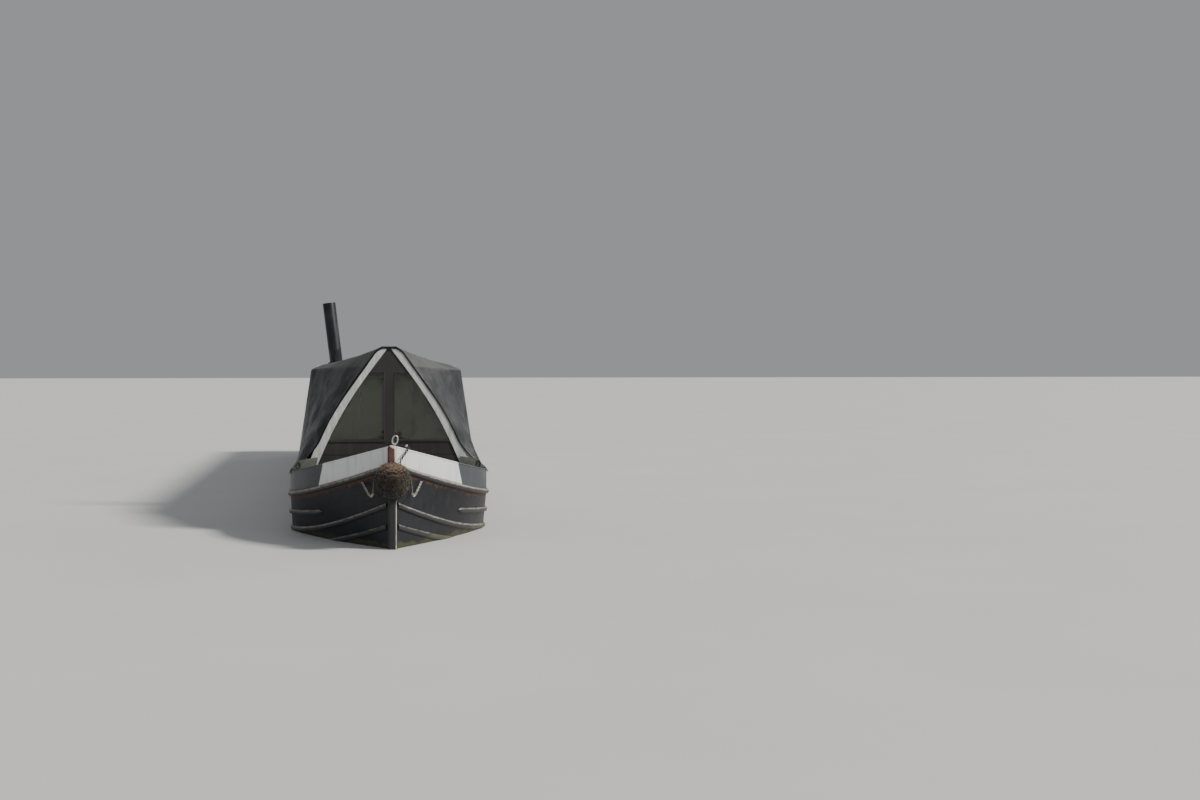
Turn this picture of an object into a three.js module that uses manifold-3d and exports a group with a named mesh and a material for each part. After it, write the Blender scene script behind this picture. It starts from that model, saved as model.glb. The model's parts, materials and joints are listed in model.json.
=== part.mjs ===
// A steel narrowboat of 57 feet, afloat in the photograph and built here with its whole hull.
// Millimetres. +X points to the bow, +Y to port and +Z up. The origin is on the underside of
// the flat baseplate, midway along the boat with its fenders and on its centreline.
import * as THREE from "three";
import { mergeVertices } from "three/addons/utils/BufferGeometryUtils.js";
import Module from "manifold-3d";

const wasm = await Module();
wasm.setup();

// Driving dimensions of the whole boat
const hullLength = 17374; // 57 ft from the stem's face to the counter's end
const beam = 2083; // 6 ft 10 in
const gunwaleHeight = 1220; // she floats with 570 of it under water
const fitGap = 0.3; // between pieces that touch
const wall = 45; // steel side with its lining
const fenderReach = 240; // each end's fender stands this far past the hull

const stemFace = hullLength / 2;
const counterEnd = -hullLength / 2;
const halfBeam = beam / 2;

// Stations along the boat
const cratchX = stemFace - 1640; // the triangular board at the front of the well
const cabinFront = cratchX - 1800;
const cabinRear = counterEnd + 840;
const swimStart = -5400; // the hull's lower part narrows from here to the propeller
const swimEnd = -7600;
const counterFront = cabinRear + 160;

// Propeller shaft
const shaftRadius = 25;
const shaftHeight = 300;

// Stem and stern posts
const postHalf = 45;
const postDepth = 80;

// Levels of the hull's side. Each row: z amidships, half breadth, length and power of the bow's
// curve, and how far the stem's back stands behind its face there.
const baseLevel = { z: 10, half: 1020, curve: 2600, power: 1.5, rake: 290 };
const splitLevel = { z: 566, half: 1034, curve: 2050, power: 1.4, rake: 100 };
const guardLevel = { z: 985, half: halfBeam, curve: 1700, power: 1.8, rake: 80 };
const topLevel = { z: gunwaleHeight, half: halfBeam, curve: 1700, power: 1.8, rake: 80 };

// How a line on the bow rises from its height amidships: rise at the stem, length and power
const topRise = { rise: 335, length: 1800, power: 1.8 };
const guardRise = { rise: 375, length: 2000, power: 2.3 };
const midStrake = 755; // height of the shorter strake along the sides, and of the counter's band

// Cabin
const cabinHalfBottom = 925;
const cabinHalfTop = 850;
const cabinWall = 50;
const roofEdge = 2240;
const roofCamber = 75;
const roofThick = 45;
const sideDeckInner = 868;
const sideDeckThick = 30;
const sideDeckStraight = 6200; // behind here the deck's edge and height are straight
const floorTop = 130;
const wide = 1200; // reaches past the hull's sides, for blocks that are cut to fit them

// Rubbing strakes: section of a worn D bar, outward and up
const strakeSection = [
  [-12, -27],
  [16, -25],
  [26, -12],
  [26, 12],
  [16, 25],
  [-12, 27],
];

const paints = {
  hullBlack: [0x24262a, 0.62, 0.25],
  stemRed: [0x6b3128, 0.7, 0.1],
  deckGrey: [0x8b9093, 0.6, 0.2],
  steel: [0x6d6f72, 0.45, 0.8],
  cabinCream: [0xb9b596, 0.5, 0.1],
  roofGrey: [0x7d827f, 0.65, 0.1],
  frameGrey: [0xa9adac, 0.6, 0.1],
  canvasBlack: [0x2a2c2f, 0.55, 0.0],
  doorGreen: [0x2d3b33, 0.5, 0.1],
  glass: [0x4b5654, 0.1, 0.0],
  brass: [0xb08d3e, 0.35, 0.9],
  ironBlack: [0x1e1f21, 0.6, 0.5],
  rope: [0x5b4632, 0.95, 0.0],
  timber: [0x8a6a45, 0.7, 0.0],
};

const boat = new THREE.Group();

// Solids

function solidOf(geometry) {
  const bare = geometry.index ? geometry.toNonIndexed() : geometry.clone();
  bare.deleteAttribute("normal");
  bare.deleteAttribute("uv");
  const merged = mergeVertices(bare, 1e-3);
  const mesh = new wasm.Mesh({
    numProp: 3,
    vertProperties: new Float32Array(merged.attributes.position.array),
    triVerts: new Uint32Array(merged.index.array),
  });
  return new wasm.Manifold(mesh);
}

function placed(geometry, x = 0, y = 0, z = 0, rx = 0, ry = 0, rz = 0) {
  geometry.applyMatrix4(
    new THREE.Matrix4().compose(
      new THREE.Vector3(x, y, z),
      new THREE.Quaternion().setFromEuler(new THREE.Euler(rx, ry, rz, "XYZ")),
      new THREE.Vector3(1, 1, 1),
    ),
  );
  return solidOf(geometry);
}

// A box between two corners
function block(x0, x1, y0, y1, z0, z1) {
  const box = new THREE.BoxGeometry(x1 - x0, y1 - y0, z1 - z0);
  return placed(box, (x0 + x1) / 2, (y0 + y1) / 2, (z0 + z1) / 2);
}

// A cylinder along "x", "y" or "z" between two ends
function bar(axis, radius, start, end, a, b, sides = 20) {
  const tube = new THREE.CylinderGeometry(radius, radius, end - start, sides);
  const mid = (start + end) / 2;
  if (axis === "x") return placed(tube, mid, a, b, 0, 0, Math.PI / 2);
  if (axis === "y") return placed(tube, a, mid, b);
  return placed(tube, a, b, mid, Math.PI / 2);
}

// An outline in the plane across the boat, [y, z] points, given a thickness along X
function acrossPlate(points, x0, x1, holes = []) {
  const shape = new THREE.Shape(points.map(([y, z]) => new THREE.Vector2(y, z)));
  for (const hole of holes) {
    shape.holes.push(new THREE.Path(hole.map(([y, z]) => new THREE.Vector2(y, z))));
  }
  const plate = new THREE.ExtrudeGeometry(shape, { depth: x1 - x0, bevelEnabled: false });
  plate.applyMatrix4(
    new THREE.Matrix4().set(0, 0, 1, x0, 1, 0, 0, 0, 0, 1, 0, 0, 0, 0, 0, 1),
  );
  return solidOf(plate);
}

// An outline in plan, [x, y] points, given a thickness along Z
function planPlate(points, z0, z1) {
  const shape = new THREE.Shape(points.map(([x, y]) => new THREE.Vector2(x, y)));
  const plate = new THREE.ExtrudeGeometry(shape, { depth: z1 - z0, bevelEnabled: false });
  plate.translate(0, 0, z0);
  return solidOf(plate);
}

// An outline seen from the side, [x, z] points, given a thickness across the boat
function sidePlate(points, y0, y1) {
  const shape = new THREE.Shape(points.map(([x, z]) => new THREE.Vector2(x, z)));
  const plate = new THREE.ExtrudeGeometry(shape, { depth: y1 - y0, bevelEnabled: false });
  plate.applyMatrix4(
    new THREE.Matrix4().set(1, 0, 0, 0, 0, 0, -1, y1, 0, 1, 0, 0, 0, 0, 0, 1),
  );
  return solidOf(plate);
}

function triangleSolid(triangles) {
  let volume = 0;
  for (const [a, b, c] of triangles) {
    volume +=
      a[0] * (b[1] * c[2] - b[2] * c[1]) -
      a[1] * (b[0] * c[2] - b[2] * c[0]) +
      a[2] * (b[0] * c[1] - b[1] * c[0]);
  }
  const facing = volume < 0 ? triangles.map(([a, b, c]) => [a, c, b]) : triangles;
  const geometry = new THREE.BufferGeometry();
  geometry.setAttribute("position", new THREE.Float32BufferAttribute(facing.flat(2), 3));
  return solidOf(geometry);
}

// The solid between two grids of points, rows by columns, closed round its four edges
function slab(outer, inner) {
  const triangles = [];
  const quad = (a, b, c, d) => triangles.push([a, b, c], [a, c, d]);
  const rows = outer.length - 1;
  const columns = outer[0].length - 1;
  for (let i = 0; i < rows; i++) {
    for (let j = 0; j < columns; j++) {
      quad(outer[i][j], outer[i + 1][j], outer[i + 1][j + 1], outer[i][j + 1]);
      quad(inner[i][j], inner[i][j + 1], inner[i + 1][j + 1], inner[i + 1][j]);
    }
    quad(outer[i][0], inner[i][0], inner[i + 1][0], outer[i + 1][0]);
    quad(outer[i][columns], outer[i + 1][columns], inner[i + 1][columns], inner[i][columns]);
  }
  for (let j = 0; j < columns; j++) {
    quad(outer[0][j], outer[0][j + 1], inner[0][j + 1], inner[0][j]);
    quad(outer[rows][j], inner[rows][j], inner[rows][j + 1], outer[rows][j + 1]);
  }
  return triangleSolid(triangles);
}

// Rings of points joined one to the next, with flat convex ends
function sweep(rings) {
  const triangles = [];
  const count = rings[0].length;
  for (let i = 0; i < rings.length - 1; i++) {
    for (let k = 0; k < count; k++) {
      const next = (k + 1) % count;
      triangles.push([rings[i][k], rings[i + 1][k], rings[i + 1][next]]);
      triangles.push([rings[i][k], rings[i + 1][next], rings[i][next]]);
    }
  }
  const last = rings[rings.length - 1];
  for (let k = 1; k < count - 1; k++) {
    triangles.push([rings[0][0], rings[0][k], rings[0][k + 1]]);
    triangles.push([last[0], last[k + 1], last[k]]);
  }
  return triangleSolid(triangles);
}

// A round bar along a smooth curve through points
function pipe(points, radius, steps, sides = 10) {
  const path = new THREE.CatmullRomCurve3(points.map((p) => new THREE.Vector3(...p)));
  const shape = new THREE.Shape();
  for (let k = 0; k < sides; k++) {
    const angle = (2 * Math.PI * k) / sides;
    const corner = [radius * Math.cos(angle), radius * Math.sin(angle)];
    if (k === 0) shape.moveTo(...corner);
    else shape.lineTo(...corner);
  }
  return solidOf(new THREE.ExtrudeGeometry(shape, { steps, extrudePath: path }));
}

// A profile of [radius, height] points turned about Z
function turned(profile, sides = 24) {
  const points = profile.map(([r, z]) => new THREE.Vector2(r, z));
  const lathe = new THREE.LatheGeometry(points, sides);
  lathe.rotateX(Math.PI / 2);
  const solid = solidOf(lathe);
  return solid.volume() < 0 ? flipped(lathe) : solid;
}

function flipped(geometry) {
  const index = geometry.index.array;
  for (let i = 0; i < index.length; i += 3) {
    [index[i + 1], index[i + 2]] = [index[i + 2], index[i + 1]];
  }
  return solidOf(geometry);
}

// A stack of hinge barrels on one axis. Even ones belong to the fixed side and odd ones to the
// moving side; each side is cut back round the other's barrels, and a turned barrel rests
// fitGap from its neighbour.
const barrelRadius = 9;
const barrelLength = 48;
const barrelClear = 3;

function hinge(axis, a, b, starts) {
  const parts = { fixed: [], moving: [], fixedCut: [], movingCut: [] };
  for (const start of starts) {
    for (const k of [0, 1]) {
      const from = start + k * (barrelLength + fitGap);
      const to = from + barrelLength;
      const barrel = bar(axis, barrelRadius, from, to, a, b, 16);
      const room = bar(axis, barrelRadius + barrelClear, from - fitGap, to + fitGap, a, b, 16);
      parts[k === 0 ? "fixed" : "moving"].push(barrel);
      parts[k === 0 ? "movingCut" : "fixedCut"].push(room);
    }
  }
  const fitted = (solid, cuts, barrels) => {
    const left = cuts.reduce((rest, cut) => rest.subtract(cut), solid);
    return joined(left, ...barrels);
  };
  return {
    onFixed: (solid) => fitted(solid, parts.fixedCut, parts.fixed),
    onMoving: (solid) => fitted(solid, parts.movingCut, parts.moving),
  };
}

function mirrored(solid) {
  return solid.mirror([0, 1, 0]);
}

function joined(...solids) {
  return solids.reduce((all, one) => all.add(one));
}

function add(name, paint, solid) {
  const [color, roughness, metalness] = paints[paint];
  const mesh = solid.getMesh();
  const positions = new Float32Array(mesh.numVert * 3);
  for (let i = 0; i < mesh.numVert; i++) {
    positions.set(mesh.vertProperties.subarray(i * mesh.numProp, i * mesh.numProp + 3), i * 3);
  }
  const geometry = new THREE.BufferGeometry();
  geometry.setAttribute("position", new THREE.BufferAttribute(positions, 3));
  geometry.setIndex(new THREE.BufferAttribute(new Uint32Array(mesh.triVerts), 1));
  geometry.computeVertexNormals();
  const material = new THREE.MeshStandardMaterial({ color, roughness, metalness });
  const made = new THREE.Mesh(geometry, material);
  made.name = name;
  boat.add(made);
  return solid;
}

// Hull lines

function lineHeight(z, line, fromStem) {
  return z + line.rise * Math.pow(Math.max(0, 1 - fromStem / line.length), line.power);
}

// A point on a level's plan curve, with its outward direction. share runs from 0 at the stem
// to 1 where the side becomes straight, and the half breadth grows with a power of it.
function bowPoint(level, share, inset = 0) {
  const growth = level.half - postHalf;
  const left = 1 - share;
  const slope = (level.power * growth * left ** (level.power - 1)) / level.curve;
  const long = Math.hypot(slope, 1);
  const out = [slope / long, 1 / long];
  const fromStem = level.curve * share;
  const x = stemFace - level.rake - fromStem - inset * out[0];
  const y = level.half - growth * left ** level.power - inset * out[1];
  return { x, y, fromStem, out };
}

// Half breadth of the lower hull where it narrows to the stern post
function swimHalf(half, x) {
  const share = Math.min(1, Math.max(0, (swimStart - x) / (swimStart - swimEnd)));
  return postHalf + (half - postHalf) * (0.5 + 0.5 * Math.cos(Math.PI * share));
}

const bowSteps = 12;
const swimSteps = 8;

function levelHeight(level, fromStem) {
  if (level === topLevel) return lineHeight(level.z, topRise, fromStem);
  if (level === guardLevel) return lineHeight(level.z, guardRise, fromStem);
  return level.z;
}

// One row of side points per station, from the stem aft, at the levels asked for
function sideGrid(levels, inset, lift, aft) {
  const rows = [];
  for (let i = 0; i <= bowSteps; i++) {
    rows.push(
      levels.map((level) => {
        const p = bowPoint(level, i / bowSteps, inset);
        return [p.x, p.y, levelHeight(level, p.fromStem) + lift(level)];
      }),
    );
  }
  return rows.concat(aft(inset, lift, levels));
}

function straightAft(end) {
  return (inset, lift, levels) => [
    levels.map((level) => [end, level.half - inset, level.z + lift(level)]),
  ];
}

function swimAft(inset, lift, levels) {
  const rows = [];
  for (let i = 0; i <= swimSteps; i++) {
    const x = swimStart + ((swimEnd - swimStart) * i) / swimSteps;
    rows.push(
      levels.map((level) => {
        const half = Math.max(swimHalf(level.half, x) - inset, -5 * Math.sign(inset));
        return [x, half, level.z + lift(level)];
      }),
    );
  }
  return rows;
}

const flat = () => 0;

function lowerSide() {
  const levels = [baseLevel, splitLevel];
  const seated = (level) => (level === baseLevel ? fitGap : 0);
  return slab(sideGrid(levels, 0, seated, swimAft), sideGrid(levels, wall, seated, swimAft));
}

function upperSide() {
  const levels = [splitLevel, guardLevel, topLevel];
  const aft = straightAft(counterFront + fitGap);
  return slab(sideGrid(levels, 0, flat, aft), sideGrid(levels, wall, flat, aft));
}

// A point on the outside of the bow at any height, between the levels above and below it
function skinPoint(share, height) {
  const column = [baseLevel, splitLevel, guardLevel, topLevel].map((level) => {
    const p = bowPoint(level, share);
    return { ...p, z: levelHeight(level, p.fromStem) };
  });
  let k = 0;
  while (k < 2 && height > column[k + 1].z) k++;
  const [low, high] = [column[k], column[k + 1]];
  const share2 = (height - low.z) / (high.z - low.z);
  const mix = (a, b) => a + (b - a) * share2;
  return {
    x: mix(low.x, high.x),
    y: mix(low.y, high.y),
    out: [mix(low.out[0], high.out[0]), mix(low.out[1], high.out[1])],
  };
}

// A rubbing strake along the bow, and on aft to x = end where that is given
function strake(line, startShare, endShare, end) {
  const rings = [];
  for (let i = 0; i <= bowSteps; i++) {
    const share = startShare + ((endShare - startShare) * i) / bowSteps;
    const fromStem = bowPoint(guardLevel, share).fromStem;
    const height = lineHeight(line.z, line, fromStem);
    const p = skinPoint(share, height);
    rings.push(
      strakeSection.map(([out, up]) => [p.x + out * p.out[0], p.y + out * p.out[1], height + up]),
    );
  }
  if (end !== undefined) {
    rings.push(strakeSection.map(([out, up]) => [end, halfBeam + out, line.z + up]));
  }
  return sweep(rings);
}

// Each row: z amidships, its rise, the shares where it starts and finishes, and its aft end
const strakeEnd = counterFront + fitGap;
const strakes = [
  { z: guardLevel.z, ...guardRise, start: 0, finish: 1, end: strakeEnd },
  { z: midStrake, rise: 215, length: 2600, power: 2, start: 0.48, finish: 1, end: strakeEnd },
  { z: 590, rise: 405, length: 2000, power: 2.4, start: 0, finish: 1 },
  { z: 420, rise: 366, length: 2600, power: 2.8, start: 0, finish: 0.62 },
];

// The narrow deck along the gunwale, which carries the cabin's side
function sideDeck() {
  const rows = [];
  const stations = 6;
  for (let i = 0; i <= stations; i++) {
    rows.push(cratchX - ((cratchX - sideDeckStraight) * i) / stations);
  }
  rows.push(counterFront + fitGap);
  const outerAt = (x) => sideHalfAt(x) - 8;
  const heightAt = (x) => lineHeight(gunwaleHeight, topRise, stemFace - topLevel.rake - x);
  const top = rows.map((x) => [
    [x, outerAt(x), heightAt(x)],
    [x, sideDeckInner, heightAt(x)],
  ]);
  const under = top.map((row) => row.map(([x, y, z]) => [x, y, z - sideDeckThick]));
  return slab(top, under);
}

// Half breadth of the hull's top edge at x
function sideHalfAt(x) {
  const share = (stemFace - topLevel.rake - x) / topLevel.curve;
  return bowPoint(topLevel, Math.min(1, Math.max(0, share))).y;
}

// The space between the hull's two sides, for cutting decks and floors to fit
function hullSpace() {
  const grid = (levels, aft) => {
    const rows = sideGrid(levels, wall + fitGap, flat, aft);
    return rows.filter((row) => row.every((p) => p[1] > 20));
  };
  const half = (rows) =>
    slab(
      rows,
      rows.map((row) => row.map(([x, y, z]) => [x, -y, z])),
    );
  const lower = half(grid([baseLevel, splitLevel], swimAft));
  const upper = half(grid([splitLevel, guardLevel, topLevel], straightAft(counterFront + fitGap)));
  return joined(lower, upper);
}

const space = hullSpace();

// Stern plates

const uxterBottom = 558;
const uxterTop = 566;
const engineOpening = { x0: -6560, x1: -5560, half: 290 };

function uxterPlate() {
  const plate = block(
    counterFront + fitGap,
    swimStart,
    -halfBeam + 4,
    halfBeam - 4,
    uxterBottom,
    uxterTop,
  );
  const opening = block(
    engineOpening.x0,
    engineOpening.x1,
    -engineOpening.half,
    engineOpening.half,
    uxterBottom - 10,
    uxterTop + 10,
  );
  return plate.subtract(opening);
}

// The rounded counter in plan: straight sides, then half an ellipse to the boat's end
function counterOutline(grow) {
  const points = [[counterFront, halfBeam + grow]];
  const start = counterEnd + 900;
  const steps = 14;
  for (let i = 0; i <= steps; i++) {
    const angle = (Math.PI * i) / steps;
    points.push([
      start - (start - counterEnd + grow) * Math.sin(angle),
      (halfBeam + grow) * Math.cos(angle),
    ]);
  }
  points.push([counterFront, -halfBeam - grow]);
  return points;
}

const rudderX = counterEnd + 300;
const stockRadius = 25;

function counter() {
  const body = planPlate(counterOutline(0), uxterBottom, gunwaleHeight);
  const bands = [guardLevel.z, midStrake, uxterBottom + 30].map((z) =>
    planPlate(counterOutline(26), z - 22, z + 22),
  );
  const lip = planPlate(counterOutline(8), gunwaleHeight - 40, gunwaleHeight);
  const tube = bar("z", 48, gunwaleHeight - 10, gunwaleHeight + 60, rudderX, 0);
  const studs = [-1, 1].flatMap((side) => [
    bar("z", 22, gunwaleHeight - 10, gunwaleHeight + 150, counterEnd + 420, side * 640, 14),
    bar("y", 16, side * 640 - 70, side * 640 + 70, counterEnd + 420, gunwaleHeight + 118, 12),
  ]);
  const hole = bar("z", stockRadius + 8, 0, gunwaleHeight + 200, rudderX, 0);
  return joined(body, ...bands, lip, tube, ...studs).subtract(hole);
}

// Outline of the baseplate: the bow's curve, straight sides and the swim
function baseOutline() {
  const side = [];
  for (let i = 0; i <= bowSteps; i++) {
    const p = bowPoint(baseLevel, i / bowSteps);
    side.push([p.x + 12 * p.out[0], p.y + 12 * p.out[1]]);
  }
  for (let i = 0; i <= swimSteps; i++) {
    const x = swimStart + ((swimEnd - swimStart) * i) / swimSteps;
    side.push([x, swimHalf(baseLevel.half, x) + 12]);
  }
  side.push([swimEnd - postDepth, postHalf]);
  return [...side, ...side.map(([x, y]) => [x, -y]).reverse()];
}

// Hull

// The stem post seen from the side; grown a little, it also trims the hull's sides
function stemPost(grow) {
  const levels = [baseLevel, splitLevel, guardLevel, topLevel];
  const lift = grow ? -20 : fitGap;
  const back = levels.map((level) => [stemFace - level.rake - grow, levelHeight(level, 0)]);
  back[0][1] += lift;
  const tip = levelHeight(topLevel, 0);
  const top = [[stemFace - topLevel.rake - grow, tip + 22 + grow]];
  const front = [
    [stemFace - 14, tip + 22 + grow],
    [stemFace, tip - 10],
    [stemFace, 640],
    [stemFace - 40, 430],
    [stemFace - 120, 200],
    [stemFace - baseLevel.rake + postDepth, baseLevel.z + lift],
  ];
  return sidePlate([...back, ...top, ...front], -postHalf - grow, postHalf + grow);
}

const hullSidePort = (() => {
  const runs = strakes.map((line) => strake(line, line.start, line.finish, line.end));
  const slot = block(
    counterFront - 200,
    swimStart + fitGap,
    -2000,
    2000,
    uxterBottom - fitGap,
    uxterTop + fitGap,
  );
  const centre = block(-9000, 9000, -2000, fitGap, -50, 2600);
  const tunnel = bar("x", shaftRadius + 6, -7700, swimStart, 0, shaftHeight);
  return joined(lowerSide(), upperSide(), sideDeck(), ...runs)
    .subtract(slot)
    .subtract(centre)
    .subtract(tunnel)
    .subtract(stemPost(fitGap));
})();

add("baseplate", "hullBlack", planPlate(baseOutline(), 0, baseLevel.z));
add("hull_side_port", "hullBlack", hullSidePort);
add("hull_side_starboard", "hullBlack", mirrored(hullSidePort));

add("stem_post", "stemRed", stemPost(0));
add(
  "stern_post",
  "hullBlack",
  joined(
    block(
      swimEnd - postDepth,
      swimEnd - fitGap,
      -postHalf,
      postHalf,
      baseLevel.z + fitGap,
      uxterBottom - fitGap,
    ),
    bar("x", 58, swimEnd - postDepth - 50, swimEnd - postDepth + 20, 0, shaftHeight),
  ).subtract(bar("x", shaftRadius + 0.8, swimEnd - 200, swimEnd + 10, 0, shaftHeight)),
);
add("uxter_plate", "hullBlack", uxterPlate());
add("counter", "hullBlack", counter());

// The skeg carries the rudder's foot and guards the propeller from below
const skegTop = 26;
add(
  "skeg",
  "hullBlack",
  joined(
    block(rudderX - 60, swimEnd - postDepth - fitGap, -32, 32, 0, skegTop),
    bar("z", 55, 0, skegTop + 18, rudderX, 0),
  ).subtract(bar("z", stockRadius + 0.8, skegTop - 8, skegTop + 40, rudderX, 0)),
);

add(
  "floor_and_ballast",
  "timber",
  space.intersect(
    block(swimStart + 60, cratchX - 60, -wide, wide, baseLevel.z + fitGap, floorTop),
  ),
);
add(
  "engine_bulkhead",
  "steel",
  space.intersect(
    block(swimStart + 30, swimStart + 50, -wide, wide, baseLevel.z + fitGap, uxterBottom + 60),
  ),
);

// The engine as a plain block on two bearers
const engine = { x0: -6450, x1: -5700, half: 230, bottom: 240, top: 740 };
const bearer = { reach: 30, inner: 200, outer: 270, top: 260 };
add(
  "engine_block",
  "ironBlack",
  joined(
    block(engine.x0, engine.x1, -engine.half, engine.half, engine.bottom, engine.top),
    ...[
      [-bearer.outer, -bearer.inner],
      [bearer.inner, bearer.outer],
    ].map(([y0, y1]) => {
      const [x0, x1] = [engine.x0 - bearer.reach, engine.x1 + bearer.reach];
      return block(x0, x1, y0, y1, baseLevel.z + fitGap, bearer.top);
    }),
  ),
);

// Well deck, gas locker and foredeck
const wellFloor = 710;
const wellDeckEnd = stemFace - 700;
add(
  "well_deck",
  "deckGrey",
  space.intersect(block(cabinFront + fitGap, wellDeckEnd, -wide, wide, wellFloor - 12, wellFloor)),
);

const foredeckCamber = 55;
const foredeckDrop = 18;
const foredeckThick = 14;

function foredeckHeight(x, y) {
  const edge = lineHeight(gunwaleHeight, topRise, stemFace - topLevel.rake - x);
  const half = sideHalfAt(x);
  return edge - foredeckDrop + foredeckCamber * ((half ** 2 - y ** 2) / halfBeam ** 2);
}

function foredeckSheet(drop) {
  const rows = [];
  const [along, across] = [8, 8];
  for (let i = 0; i <= along; i++) {
    const x = cratchX - 20 + ((stemFace - 80 - cratchX) * i) / along;
    const row = [];
    for (let j = 0; j <= across; j++) {
      const y = -1000 + (2000 * j) / across;
      row.push([x, y, foredeckHeight(x, y) - drop]);
    }
    rows.push(row);
  }
  return rows;
}

const doorGap = 6; // round each door and lid
const locker = { x0: cratchX + 260, x1: cratchX + 720, half: 230 };
const deckRoom = -12; // the foredeck starts out this far into the sides and is cut back by them
const bowSpace = (() => {
  const rows = [];
  for (let i = 0; i <= bowSteps; i++) {
    const p = bowPoint(topLevel, i / bowSteps, wall + deckRoom);
    const g = bowPoint(guardLevel, i / bowSteps, wall + deckRoom);
    const foot = levelHeight(guardLevel, bowPoint(guardLevel, i / bowSteps).fromStem);
    const rise = levelHeight(topLevel, bowPoint(topLevel, i / bowSteps).fromStem) - foot;
    const column = [-200, rise + 300].map((up) => {
      const share = up / rise;
      return [g.x + (p.x - g.x) * share, g.y + (p.y - g.y) * share, foot + up];
    });
    rows.push(column);
  }
  return slab(
    rows,
    rows.map((row) => row.map(([x, y, z]) => [x, -y, z])),
  );
})();

const stud = { x: stemFace - 330, radius: 24, height: 150, barRadius: 14, barHalf: 60, barUp: 116 };

function bowStud() {
  const deck = foredeckHeight(stud.x, 0);
  return joined(
    block(stud.x - 70, stud.x + 70, -60, 60, deck - 22, deck + 12),
    bar("z", stud.radius, deck - 10, deck + stud.height, stud.x, 0, 16),
    bar("y", stud.barRadius, -stud.barHalf, stud.barHalf, stud.x, deck + stud.barUp, 14),
  );
}

const lidPivot = { x: locker.x0 + doorGap / 2, z: foredeckHeight(locker.x0, 0) + 5 };
const lidHinge = hinge("y", lidPivot.x, lidPivot.z, [-150, 54]);

add(
  "foredeck",
  "deckGrey",
  lidHinge.onFixed(
    joined(
      slab(foredeckSheet(0), foredeckSheet(foredeckThick))
        .intersect(bowSpace)
        .subtract(hullSidePort.translate([-0.2, -0.25, 0]))
        .subtract(mirrored(hullSidePort.translate([-0.2, -0.25, 0]))),
      bowStud(),
    )
      .intersect(block(cratchX + fitGap, stemFace, -wide, wide, 900, 1800))
      .subtract(block(locker.x0, locker.x1, -locker.half, locker.half, 900, 1700)),
  ),
);
const boardFoot = gunwaleHeight + 22;
const sideDeckUnder = gunwaleHeight - sideDeckThick - 1;
add(
  "locker_bulkhead",
  "deckGrey",
  joined(
    space.intersect(
      block(cratchX - 30, cratchX - fitGap, -wide, wide, wellFloor + fitGap, sideDeckUnder),
    ),
    block(
      cratchX - 30,
      cratchX - fitGap,
      -sideDeckInner + 1,
      sideDeckInner - 1,
      sideDeckUnder - 20,
      boardFoot - fitGap,
    ),
  ),
);

// Cabin

const roofHalf = cabinHalfTop + 12;

function roofUnder(y) {
  return roofEdge + roofCamber * (1 - (y / roofHalf) ** 2);
}

function roofTop(y) {
  return roofUnder(y) + roofThick;
}

const wallLean = Math.atan((cabinHalfBottom - cabinHalfTop) / (roofEdge - gunwaleHeight));

function wallHalf(z) {
  return cabinHalfBottom - (z - gunwaleHeight) * Math.tan(wallLean);
}

// A rounded rectangle standing in the X-Z plane, centred, from y0 to y1
function roundedPane(width, height, radius, y0, y1) {
  const [w, h] = [width / 2, height / 2];
  const r = Math.min(radius, w, h);
  const steps = r > 200 ? 7 : 3;
  const points = [];
  const corners = [
    [w - r, h - r, 0],
    [-w + r, h - r, 1],
    [-w + r, -h + r, 2],
    [w - r, -h + r, 3],
  ];
  for (const [x, z, quarter] of corners) {
    for (let i = 0; i <= steps; i++) {
      const angle = (Math.PI / 2) * (quarter + i / steps);
      points.push([x + r * Math.cos(angle), z + r * Math.sin(angle)]);
    }
  }
  return sidePlate(points, y0, y1);
}

// Moves something made in front of the origin onto the leaning port wall
function onWall(solid, x, z) {
  return solid.rotate([(wallLean * 180) / Math.PI, 0, 0]).translate([x, wallHalf(z), z]);
}

// Each row: name, station, height of the centre, width, height, corner radius
const windows = [
  { name: "window_1", x: 4350, z: 1800, width: 1000, height: 520, radius: 90 },
  { name: "window_2", x: 2350, z: 1800, width: 1000, height: 520, radius: 90 },
  { name: "window_3", x: 150, z: 1800, width: 1000, height: 520, radius: 90 },
  { name: "window_4", x: -2050, z: 1800, width: 1000, height: 520, radius: 90 },
  { name: "porthole_1", x: -4300, z: 1800, width: 400, height: 400, radius: 200 },
  { name: "porthole_2", x: -6200, z: 1800, width: 400, height: 400, radius: 200 },
];

function windowUnit({ width, height, radius }) {
  const flange = roundedPane(width + 56, height + 56, radius + 28, 0.5, 9);
  const body = roundedPane(width - 2, height - 2, radius, -52, 1);
  const front = roundedPane(width - 50, height - 50, radius - 24, -14, 20);
  const back = roundedPane(width - 50, height - 50, radius - 24, -60, -22);
  const mullion = width > 600 ? block(-14, 14, -22, 4, -height / 2 + 10, height / 2 - 10) : null;
  const unit = joined(flange, body).subtract(front).subtract(back);
  return mullion ? unit.add(mullion) : unit;
}

const cabinSidePort = (() => {
  const z0 = gunwaleHeight + fitGap;
  const foot = wallHalf(z0);
  let side = acrossPlate(
    [
      [foot, z0],
      [cabinHalfTop, roofUnder(cabinHalfTop) - 0.6],
      [cabinHalfTop - cabinWall, roofUnder(cabinHalfTop - cabinWall) - 0.6],
      [foot - cabinWall, z0],
    ],
    cabinRear,
    cabinFront,
  );
  for (const row of windows) {
    side = side.subtract(
      onWall(roundedPane(row.width, row.height, row.radius, -90, 40), row.x, row.z),
    );
  }
  return side;
})();

add("cabin_side_port", "cabinCream", cabinSidePort);
add("cabin_side_starboard", "cabinCream", mirrored(cabinSidePort));

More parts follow.
